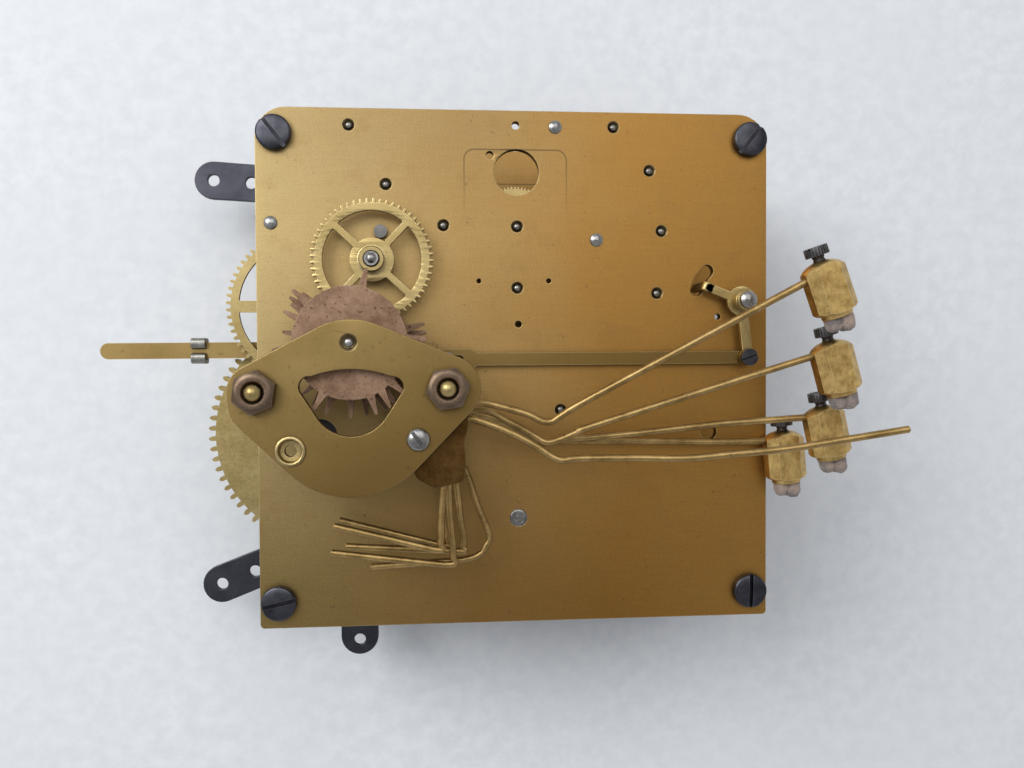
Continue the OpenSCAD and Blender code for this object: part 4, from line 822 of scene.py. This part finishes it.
def pillar_screws():
    """The screws at the back, and the heads of those at the front, which hold the left straps too."""
    shapes = []
    for c, turn in zip(pillar_places(), SLOT_TURNS):
        shapes.append(pillar_head(c, BACK, turn))
        profile = [(0, -SCREW_DEPTH), (SCREW_R, -SCREW_DEPTH), (SCREW_R, 0), (0, 0)]
        shapes.append(lathe(profile, c, 24, BACK))
        seat = DIAL - STRAP_T if c.x < 0 else DIAL
        turned_over = at(0, 0, seat) @ Matrix.Rotation(math.pi, 4, "X")
        shapes.append(placed(pillar_head((c.x, -c.y), 0, turn), turned_over))
    return merge(*shapes)


STRAP_W = 10.3
STRAP_HOLE_R = 1.6


def straps():
    """Three straps under the front plate, their fixed ends under the pillar screws or their own."""
    low, high = low_z("mounting_straps"), high_z("mounting_straps")
    upper, _, lower, _ = pillar_places()
    routes = [
        ([(-79.55, 32.9), (-64, 32), upper], [(-79.6, 32.9), (-69.5, 32.3)]),
        ([(-78.7, -78.3), (-64, -72.6), lower], [(-78.7, -78.3), (-69.7, -75)]),
        ([(-41.1, -94), (-41.1, -68)], [(-41.1, -95)]),
    ]
    shapes = []
    for route, holes in routes:
        loops = [bar(route, STRAP_W)]
        loops += [circle(h, STRAP_HOLE_R, 28) for h in holes]
        loops.append(circle(route[-1], SCREW_HOLE_R, 24))
        shapes.append(layered(loops, low, high, 0.2, 2))
    return merge(*shapes)


def bar(route, width):
    """Outline of a bar with round ends along a route."""
    half = width / 2
    turns = [heading(a, b) for a, b in zip(route, route[1:])]
    there, back = [], []
    for p, behind, ahead in zip(route[1:], turns, turns[1:]):
        middle = (ahead + behind) / 2
        there.append(Vector(p) + polar(half, middle - 90))
        back.append(Vector(p) + polar(half, middle + 90))
    loop = arc(route[0], half, turns[0] + 90, turns[0] + 270, 14) + there
    return loop + arc(route[-1], half, turns[-1] - 90, turns[-1] + 90, 14) + back[::-1]


def fasteners():
    piece("pillar_screws_finish", pillar_screws(), "frame", "blued_steel", "pillar_screws")
    piece("mounting_straps_finish", straps(), "frame", "blued_steel", "mounting_straps", STRAP_STEEL)


# Bridge over the chime drum
BRIDGE_DISCS = [
    (-56.5, -23.4, 5.9), (-55.9, -26, 6.2), (-36.8, -27, 18.7), (-16.6, -22.9, 7), (-36.9, -22.4, 14.2),
]
BRIDGE_SINK_R = 1.8


def window_outline():
    return (arc((-28.3, -22.6), 2.4, -15, 70, 6) + arc((-36.9, -42.5), 23.8, 70, 110, 14)
            + arc((-45.3, -22.4), 2.4, 110, 200, 6) + arc((-36.8, -24.3), 8.5, 215, 325, 16))


def bridge():
    loops = [around(BRIDGE_DISCS, 36), window_outline()]
    loops += [circle(c, SCREW_HOLE_R, 28) for c in BRIDGE_STUDS]
    loops += [circle(AT["drum"], BRIDGE_SINK_R, 32), circle(AT["hammer_1"], 1.27, 28)]
    loops.append(circle(BUSH, 2.62, 32))
    return layered(loops, BRIDGE_LOW, BRIDGE_TOP, 0.2, 2)


NUT_FLATS = 8.2
NUT_H = 3.2
NUT_TURNS = [22, 8]


def nut(c, turn):
    """Hexagon nut with both its faces chamfered round and a lead-in at the thread."""
    half, h, bore = NUT_FLATS / 2, NUT_H, SCREW_HOLE_R
    corner = half / math.cos(math.radians(30))
    hexagon = prism([polar(corner, turn + 60 * k) for k in range(6)], BRIDGE_TOP - 1, BRIDGE_TOP + h + 1)
    profile = [(bore, 0), (corner - 0.35, 0), (corner + 0.1, 0.4), (corner + 0.1, h - 0.95),
               (half - 0.02, h - 0.34), (half - 0.5, h - 0.06), (3.2, h), (2.5, h), (bore, h - 0.75)]
    turned = lathe(profile, (0, 0), 64, BRIDGE_TOP)
    return placed(bevelled(combined(turned, hexagon, "INTERSECT"), 0.1, 2, 25), at(*c))


def bush():
    """Brass bush with a bright rolled rim round its cup."""
    low = BRIDGE_LOW - BRIDGE_TOP
    profile = [(1.25, low), (2.6, low), (2.6, 0), (3.2, 0), (3.2, 0.3), (3.05, 0.5), (2.75, 0.58),
               (2.5, 0.45), (2.25, -0.1), (2.1, -0.62), (1.35, -0.72), (1.25, -0.9)]
    return lathe(profile, BUSH, 48, BRIDGE_TOP)


def arbor_screw():
    """Polished slotted end of the hammer arbor."""
    c, low = AT["hammer_1"], low_z("hammer_arbor")
    shaft = lathe([(0, low), (1.25, low), (1.25, BRIDGE_TOP), (0, BRIDGE_TOP)], c, 28)
    return merge(screw_head(c, BRIDGE_TOP, 2.4, 0.95, 0.8, 0.8, -52, 0.42), shaft)


def bridge_group():
    r = DRUM_PIVOT_R
    sink = sink_ring(AT["drum"], r + 0.05, BRIDGE_SINK_R, BRIDGE_LOW, BRIDGE_TOP, 0.08, 0.5, 7, 36)
    profile = [(0, -0.6), (r, -0.6), (r, -0.35), (0.72, -0.15), (0.4, -0.03), (0, 0)]
    piece("drum_bridge_finish", bridge(), "frame", "bridge_brass", "drum_bridge")
    piece("drum_pivot_sink", sink, "frame", "bridge_brass", finish=OIL)
    for i, (c, turn) in enumerate(zip(BRIDGE_STUDS, NUT_TURNS)):
        piece(f"bridge_nut_{i + 1}", nut(c, turn), "frame", "bronze_nut", None if i else "bridge_nuts")
    piece("bridge_bush_finish", bush(), "frame", "bridge_brass", "bridge_bush", MATERIALS["wheel_brass"])
    piece("hammer_arbor_finish", arbor_screw(), "frame", "steel", "hammer_arbor")
    piece("pivot_tip_drum", lathe(profile, AT["drum"], 28, BRIDGE_TOP), "drum", "steel")


# Strike crank and the clip on the side lever
CRANK_LOW = 2.4
CRANK_T = 1.2
CRANK_BORE_R = 1.46
CRANK_HUB_LOW = 0.4
CRANK_HUB_H = 7.2
TAB_A = 158
TAB_R = 10.1
TAB_LOW = 6
TAB_BEND = 0.9


def crank_layer(loops):
    low = BACK + CRANK_LOW
    return layered(loops, low, low + CRANK_T, 0.14)


def bent_tab(c):
    """End of the crank's arm, folded down through the curved slot."""
    r, t, bend = TAB_R, CRANK_T, TAB_BEND
    z0, low = BACK + CRANK_LOW, BACK - TAB_LOW
    z1 = z0 + t
    outer = [(r - 2.6, z1)] + arc((r - bend, z1 - bend), bend, 90, 0, 6) + [(r, low), (r - t + 0.1, low)]
    inner = [(r - t + 0.1, z0 - 0.2), (r - t - 0.15, z0), (r - 2.6, z0)]
    fold = layered([outer + inner], -1, 1, 0.14)
    out, across = polar(1, TAB_A), polar(1, TAB_A - 90)
    rows = Matrix(((out.x, 0, across.x, c.x), (out.y, 0, across.y, c.y), (0, 1, 0, 0), (0, 0, 0, 1)))
    return placed(fold, rows)


def strike_crank():
    c = AT["crank"]
    down = (CRANK_TIP - c).normalized()
    tab_end = c + polar(TAB_R - 1.6, TAB_A)
    plate = crank_layer([circle(c, 3.5, 48), circle(c, CRANK_BORE_R, 28)])
    for loops in (
        [bar([c + down * 2.8, CRANK_TIP - down * 1.2], 2.4)],
        [circle(CRANK_TIP, 2, 32), circle(CRANK_TIP, 0.95, 24)],
        [bar([c + polar(2.8, TAB_A), tab_end], 2)],
    ):
        plate = combined(plate, crank_layer(loops), "UNION")
    bore, h = CRANK_BORE_R, CRANK_HUB_H
    profile = [(bore, 0), (2.15, 0), (2.3, 0.15), (2.3, h - 1.5), (2.12, h - 1.4), (2.12, h - 1.25),
               (2.3, h - 1.15), (2.3, h - 0.2), (2.1, h), (bore, h)]
    return merge(plate, lathe(profile, c, 40, BACK + CRANK_HUB_LOW), bent_tab(c))


CLIP_X = (-76.7, -73.4)
CLIP_Y = -14.3
CLIP_DEPTH = 8.8


def lever_clip():
    """Spring clip bent round the lever, its two ends curled up side by side."""
    right = arc((1.55, 0.92), 1.1, 180, 90, 6) + arc((1.95, 0.92), 1.1, 90, 0, 6)
    right += arc((1.95, -0.9), 1.1, 0, -90, 6)
    left = [Vector((-p.x, p.y)) for p in reversed(right)]
    inner = [(-2.05, 0.86), (-2.05, -0.86), (2.05, -0.86), (2.05, 0.86)]
    band = layered([right + left + inner], *CLIP_X, 0.12, 2)
    rows = Matrix(((0, 0, 1, 0), (1, 0, 0, CLIP_Y), (0, 1, 0, BACK - CLIP_DEPTH), (0, 0, 0, 1)))
    return placed(band, rows)


def lever_group():
    piece("strike_crank_finish", strike_crank(), "crank", "bridge_brass", "strike_crank",
          MATERIALS["wheel_brass"])
    piece("lever_clip_finish", lever_clip(), "silent", "dark_steel", "lever_clip", CLIP_STEEL)


# Ratio wheel and chime drum
RATIO_N = 57
DRUM_N = 25
RATIO_T = 1.2
RATIO_LIFT = 1
RATIO_RIM = 1.8
RATIO_BORE_R = 1.62


def ratio_wheel():
    c = AT["chime_third"]
    module = 2 * (AT["drum"] - c).length / (RATIO_N + DRUM_N)
    start, top = low_z("chime_ratio_wheel"), high_z("chime_ratio_wheel")
    low = start + RATIO_LIFT
    rim = (RATIO_N / 2 + FLANK[0][0]) * module - RATIO_RIM
    loops = [teeth(c, RATIO_N, module, heading(c, AT["drum"]))] + crossings(c, rim, 5, 4, 1.5, 47)
    loops.append(circle(c, RATIO_BORE_R, 32))
    bore, h, end = RATIO_BORE_R, RATIO_LIFT + RATIO_T, top - start
    profile = [(bore, 0), (2.9, 0), (2.9, 1.02), (3.35, 1.02), (3.35, h + 0.25), (2.9, h + 0.35),
               (2.9, end - 0.3), (2.65, end), (1.95, end), (1.8, end - 0.35), (bore, end - 0.4)]
    return merge(layered(loops, low, low + RATIO_T, 0.1), lathe(profile, c, 44, start))


def ratio_tip():
    profile = [(0, -0.5), (1.1, -0.5), (1.1, 0.15), (0.92, 0.4), (0.55, 0.58), (0, 0.66)]
    return lathe(profile, AT["chime_third"], 30, high_z("chime_third_wheel"))


DISC_R = 12.2
SPIKE_R = 16.3
DISC_T = 0.8
DISC_LIFT = 0.6
DISC_HEIGHTS = [4, 7, 10, 13, 16]
DISC_SPIKES = [
    [10, 135, 170, 225, 280, 330], [16, 148, 188, 236, 294, 345], [5, 155, 212, 268, 320],
    [352, 142, 200, 250, 305], [3, 77, 136, 184, 242, 291, 303, 316],
]


# Sections of a spike as distance from the drum's axis and half width
SPIKE_FORM = [(11, 1.25), (12.3, 0.92), (13.7, 0.66), (15.2, 0.48), (SPIKE_R, 0.3)]
SPIKE_H = DISC_T / 2 - 0.03


def spike(c, z, a, draw):
    """Tapered spike of a disc, sheared from its edge, a little bent and twisted."""
    lean = draw.uniform(-0.1, 0.1)
    twist = draw.uniform(-16, 16)
    points = []
    for r, w in SPIKE_FORM:
        share = max(0.0, (r - DISC_R) / (SPIKE_R - DISC_R))
        across, up = polar(1, twist * share), polar(1, twist * share + 90)
        for y, height in ((-w, -SPIKE_H), (w, -SPIKE_H), (w, SPIKE_H), (-w, SPIKE_H)):
            p = across * y + up * height
            points.append(Vector((r, p.x + lean * share * 4, p.y * (1 - 0.25 * share))))
    last = len(points) - 4
    faces = ring_faces(len(SPIKE_FORM), 4) + [[3, 2, 1, 0], list(range(last, last + 4))]
    return placed((points, faces), at(c.x, c.y, z + DISC_T / 2, a))


def chime_drum():
    c = AT["drum"]
    draw = random.Random(7)
    shapes = []
    for height, angles in zip(DISC_HEIGHTS, DISC_SPIKES):
        z = BACK + height + DISC_LIFT
        shapes.append(layered([circle(c, DISC_R, 96), circle(c, 1.2, 24)], z, z + DISC_T, 0.1))
        shapes += [bevelled(spike(c, z, a, draw), 0.07, 1, 40) for a in angles]
    h = DISC_HEIGHTS[-1] - DISC_HEIGHTS[0]
    spacer = [(1.2, 0), (3.4, 0), (3.4, h), (1.2, h)]
    shapes.append(lathe(spacer, c, 36, BACK + DISC_HEIGHTS[0] + DISC_LIFT))
    return merge(*shapes)


def drum_arbor():
    r, low, high = DRUM_PIVOT_R, BACK + 1, BRIDGE_LOW - 0.15
    start, end = low_z("chime_drum"), BRIDGE_TOP - 0.6
    profile = [(0, start), (r, start), (r, low), (1.25, low), (1.25, high), (r, high), (r, end), (0, end)]
    return lathe(profile, AT["drum"], 28)


def chime_group():
    piece("ratio_wheel_finish", ratio_wheel(), "chime_third", "wheel_brass", "chime_ratio_wheel")
    piece("ratio_arbor_tip", ratio_tip(), "chime_third", "steel")
    piece("chime_drum_discs", chime_drum(), "drum", "copper_brown", "chime_drum")
    piece("chime_drum_arbor", drum_arbor(), "drum", "steel")


# Hammers
LEVER_T = 1.6
ROD_R = 0.78
TAIL_R = 0.74
HUB_R = 2.7
LEVER_BORE_R = 1.3
HUB_HEIGHTS = [2.9, 2.9, 2.9, 2.9, 1.9]
HAMMER_HEIGHTS = [13, 10, 7, 4, 16]
LEVER_POINTS = [
    (-28.2, -27.8), (-26.2, -34), (-23.5, -42.3), (-19.5, -44.4), (-13.3, -43), (-12.8, -39),
    (-13.2, -34.3), (-12.3, -31.5), (-12.3, -27.5), (-13.6, -26.4), (-21.5, -30.5), (-26.6, -26.6),
]
# Routes of the rods as x, y and height over the back plate, from the lever to the head
RODS = [
    [(-15, -27.6, 13.8), (-9.5, -26.3, 13.9), (-4.3, -27.3, 14.7), (0.8, -28.8, 15.5), (3.9, -30.3, 16.1),
     (6, -30.3, 16.4), (8.3, -28.8, 16.9), (15.4, -24.6, 18.2), (58.1, -1.2, 26.2), (62.2, 1, 27)],
    [(-15, -29.2, 10.8), (-10.2, -27.9, 10.8), (-7.2, -28.3, 11.1), (-4, -30.1, 11.5), (-0.5, -32, 11.9),
     (2.9, -34, 12.3), (4.8, -35.1, 12.6), (7.2, -34.9, 12.8), (12.4, -32.8, 13.4), (16.3, -31.3, 13.8),
     (63, -16.6, 18.8), (67.4, -15.2, 19.3)],
    [(-15.5, -30, 7.8), (-11.2, -29.2, 7.8), (-3.7, -31.2, 8.2), (3.4, -34.8, 8.6), (5.4, -35.5, 8.7),
     (8.3, -35.1, 8.8), (26.2, -33.7, 9.6), (45.1, -31.7, 10.5), (64.6, -30.4, 11.4), (69.2, -30.1, 11.6)],
    [(-15.5, -31, 4.8), (-11.5, -30.1, 4.8), (-3.4, -31.9, 4.7), (3.9, -35.4, 4.6), (5.9, -36.1, 4.6),
     (9.4, -35.7, 4.5), (27.6, -35.9, 4.3), (47.4, -36.4, 4.1), (58.8, -36.3, 4), (63, -36.3, 4)],
    [(-16, -30, 16.8), (-12.1, -29.5, 16.8), (-10.2, -29.9, 17), (-6.8, -31.1, 17.5), (-2.3, -33, 18.1),
     (2.1, -35.4, 18.7), (5.6, -37.7, 19.2), (7.9, -38.5, 19.5), (11.2, -38.1, 19.9), (23.4, -38, 21.3),
     (34.1, -38.1, 22.6), (42.9, -37.3, 23.6), (57.5, -35.8, 25.4), (80.6, -32, 28)],
]
# Routes of the tails as x, y, each at the middle of its own lever
TAILS = [
    [(-16.6, -40.5), (-16.4, -49.6), (-15.7, -59.2), (-17.8, -61.6), (-42.2, -58.4)],
    [(-15.2, -41), (-13.9, -52.3), (-13.3, -56.3), (-13.6, -58.4), (-15, -59.4), (-39.3, -57.7)],
    [(-14.8, -39.5), (-12.6, -41.9), (-10, -49.6), (-7.4, -56.4), (-8.3, -59.1), (-9.7, -60.9),
     (-14.8, -62.1), (-34.1, -63.1)],
    [(-17.6, -41), (-17.1, -53.4), (-16.9, -57.5), (-18.3, -59.2), (-41.4, -52.9)],
    [(-17.4, -40.5), (-18.2, -51.2), (-18.4, -56.1), (-19.9, -57.6), (-41.2, -52.1)],
]
# Heads as x, y, height of the centre and tilt of the stroke from straight down
HEADS = [(63.6, -2.4, 26.2, 19), (68.5, -19.1, 18.8, 15), (69.9, -33.9, 11.4, 12), (62.9, -40.1, 4, 5)]
HEAD_L = 12.4
HEAD_W = 8.9
HEAD_T = 7
HEAD_CHAMFER = 1.9


def hammer_lever(i):
    c, bore, h = AT["hammer_1"], LEVER_BORE_R, HUB_HEIGHTS[i]
    z = BACK + HAMMER_HEIGHTS[i]
    plate = layered([rounded(LEVER_POINTS, 1.1), circle(c, bore, 28)], z, z + LEVER_T, 0.14)
    hub = [(bore, 0), (HUB_R, 0), (HUB_R, h - 0.15), (HUB_R - 0.15, h), (bore, h)]
    return merge(plate, lathe(hub, c, 36, z))


def hammer_rod(i):
    return sweep(smooth_route([(x, y, BACK + h) for x, y, h in RODS[i]]), ROD_R, 16)


def hammer_tail(i):
    z = BACK + HAMMER_HEIGHTS[i] + LEVER_T / 2
    return sweep(smooth_route([(x, y, z) for x, y in TAILS[i]]), TAIL_R, 14, 0.2)


def head_place(i):
    """Matrix to a head's place from its own frame, whose Z runs to the set screw and Y to the plate."""
    x, y, h, tilt = HEADS[i]
    return at(x, y, BACK + h, tilt) @ Matrix.Rotation(math.radians(-90), 4, "X")


def head_shape():
    """Eight-sided bar whose ends are turned: a dome at the screw and a stepped neck at the leather."""
    w, t, c, h = HEAD_W / 2, HEAD_T / 2, HEAD_CHAMFER, HEAD_L
    section = [(w, t - c), (w - c, t), (c - w, t), (-w, t - c)]
    section += [(-x, -y) for x, y in section]
    profile = [(0, 0), (2.9, 0), (3.25, 0.25), (3.3, 0.95), (3.75, 1.05), (4.25, 1.3), (4.85, 1.95),
               (4.95, 2.4), (4.95, h - 2.5), (4.6, h - 1.75), (3.9, h - 1.05), (2.9, h - 0.42),
               (1.75, h - 0.08), (1.6, h), (0, h)]
    turned = lathe(profile, (0, 0), 96, -h / 2)
    return bevelled(combined(turned, prism(section, -h / 2 - 1, h / 2 + 1), "INTERSECT"), 0.16, 2, 28)


SET_LIFT = 1.2
SET_H = 2.0
SET_FOOT = 1.5
NOTCHES = 26
THREADS = 8
THREAD_PITCH = 0.75


def set_screw():
    """Set screw with a notched rim and a slot across its head."""
    low = HEAD_L / 2 + SET_LIFT
    high = low + SET_H
    rim = []
    for k in range(NOTCHES):
        a = 360 * k / NOTCHES
        rim += [polar(2.32, a - 3.2), polar(2.52, a - 1.4), polar(2.52, a + 4.6), polar(2.32, a + 6.2)]
    head = slotted(layered([rim], low, high, 0.12), (0, 0), high, 0.45, 0.6, 35, 4)
    shank = [(0, SET_FOOT)]
    for k in range(THREADS):
        z = SET_FOOT + k * THREAD_PITCH
        shank += [(1.12, z), (1.3, z + 0.36)]
    shank += [(1.25, low + 0.1), (0, low + 0.1)]
    return merge(head, lathe(shank, (0, 0), 24))


LOBE_RINGS = 18
LOBE_STEPS = 26
BLOCKY = 0.7
# Noise on the leather's skin as features a millimetre and height
SKIN = [(0.8, 0.126), (2.6, 0.0588), (6.5, 0.021)]


def power(value, exponent):
    """Power that keeps the sign."""
    return math.copysign(abs(value) ** exponent, value)


def lobe(c, size, seed):
    """Lump of leather: a rounded block with a matted, uneven skin."""
    points = []
    shift = Vector((seed * 3.1, seed * 1.7, seed * 2.3))
    for i in range(LOBE_RINGS + 1):
        v = math.pi * i / LOBE_RINGS
        ring = abs(math.sin(v)) ** 0.75
        for k in range(LOBE_STEPS):
            u = math.tau * k / LOBE_STEPS
            p = Vector((ring * power(math.cos(u), BLOCKY), ring * power(math.sin(u), BLOCKY),
                        power(-math.cos(v), BLOCKY))) * Vector(size)
            bump = sum(noise.noise((p + shift) * scale) * height for scale, height in SKIN)
            points.append(p * (1 + bump) + Vector(c))
    return points, ring_faces(LOBE_RINGS + 1, LOBE_STEPS)


def head_leather(i):
    """Two folds of leather side by side in the head's end."""
    end = -HEAD_L / 2
    first = lobe((1.15, -0.2, end - 0.6), (1.7, 2.25, 2.9), i + 1)
    return merge(first, lobe((-1.2, 0.25, end - 0.35), (1.6, 2.1, 2.6), i + 9))


def hammers():
    for i in range(5):
        body = f"hammer_{i + 1}"
        piece(f"hammer_lever_{i + 1}", hammer_lever(i), body, "copper_brown", body, LEVER_BRONZE)
        piece(f"hammer_rod_{i + 1}", hammer_rod(i), body, "head_brass", finish=ROD_BRASS)
        piece(f"hammer_tail_{i + 1}", hammer_tail(i), body, "head_brass", finish=ROD_BRASS)
    head, screw = head_shape(), set_screw()
    for i in range(4):
        body, place = f"hammer_{i + 1}", head_place(i)
        screw_place = place @ Matrix.Rotation(i * 0.9, 4, "Z")
        piece(f"head_finish_{i + 1}", placed(head, place), body, "head_brass", f"hammer_head_{i + 1}",
              crease=24)
        piece(f"set_screw_{i + 1}", placed(screw, screw_place), body, "dark_steel", finish=GREY_STEEL)
        piece(f"leather_finish_{i + 1}", placed(head_leather(i), place), body, "leather",
              f"hammer_leather_{i + 1}", crease=60)


# Room, lights and camera
PHOTO_W = 1024
FOCAL_PX = 885
CAMERA_AT = Vector((-18.582, -17.478, 267.552))
CAMERA_LOOK = Vector((0.08272, -0.02424, -0.99628))
CAMERA_UP = Vector((0.00762, 0.99969, -0.02369))


def camera():
    data = bpy.data.cameras.new("photo_camera")
    data.sensor_width = 36
    data.lens = data.sensor_width * FOCAL_PX / PHOTO_W
    data.clip_start = 0.01
    data.clip_end = 20
    made = new_object("photo_camera", data)
    back = -CAMERA_LOOK.normalized()
    right = CAMERA_UP.cross(back).normalized()
    up = back.cross(right)
    rows = Matrix((right, up, back)).transposed().to_4x4()
    made.matrix_world = Matrix.Translation(CAMERA_AT * MM) @ rows
    bpy.context.scene.camera = made


def floor():
    half = 3.0
    corners = [(-half, -half, 0), (half, -half, 0), (half, half, 0), (-half, half, 0)]
    mesh = new_mesh("board", corners, [[0, 1, 2, 3]])
    mesh.materials.append(painted_board())
    new_object("board", mesh)


def lamp(name, place, target, size, watts, colour):
    data = bpy.data.lights.new(name, "AREA")
    data.shape = "DISK"
    data.size = size
    data.energy = watts
    data.color = colour
    made = new_object(name, data)
    made.location = place
    made.rotation_mode = "QUATERNION"
    made.rotation_quaternion = (Vector(target) - Vector(place)).to_track_quat("-Z", "Y")


def lights():
    lamp("window", (-0.62, 0.42, 0.78), (-0.03, 0, 0.05), 0.7, 7.5, (0.97, 0.985, 1.0))
    lamp("ceiling", (0.15, 0.62, 1.25), (0, 0, 0.05), 1.1, 5.0, (1.0, 0.99, 0.97))


def sky():
    """Even dim light, and a pale backdrop for what the camera, metal and glass see of it."""
    world = bpy.data.worlds.new("room")
    bpy.context.scene.world = world
    world.use_nodes = True
    tree = world.node_tree
    tree.nodes.clear()
    light = add(tree, "Background", Color=(0.9, 0.94, 1.0, 1), Strength=0.36)
    direction = add(tree, "TexCoord").outputs["Generated"]
    height = add(tree, "SeparateXYZ", Vector=direction).outputs[2]
    strength = remap(tree, height, 0.1, 0.6, HORIZON_STRENGTH, BACKDROP_STRENGTH)
    shown = add(tree, "Background", Color=BACKDROP, Strength=strength)
    mixed = add(tree, "MixShader", i0=seen_rays(tree), i1=light.outputs[0], i2=shown.outputs[0])
    add(tree, "OutputWorld", Surface=mixed.outputs[0])


def main():
    bpy.context.scene.view_settings.view_transform = "Standard"
    camera()
    floor()
    lights()
    sky()
    dress_frame_nodes()
    dress_cores()
    plates()
    fasteners()
    bridge_group()
    lever_group()
    chime_group()
    hammers()


main()
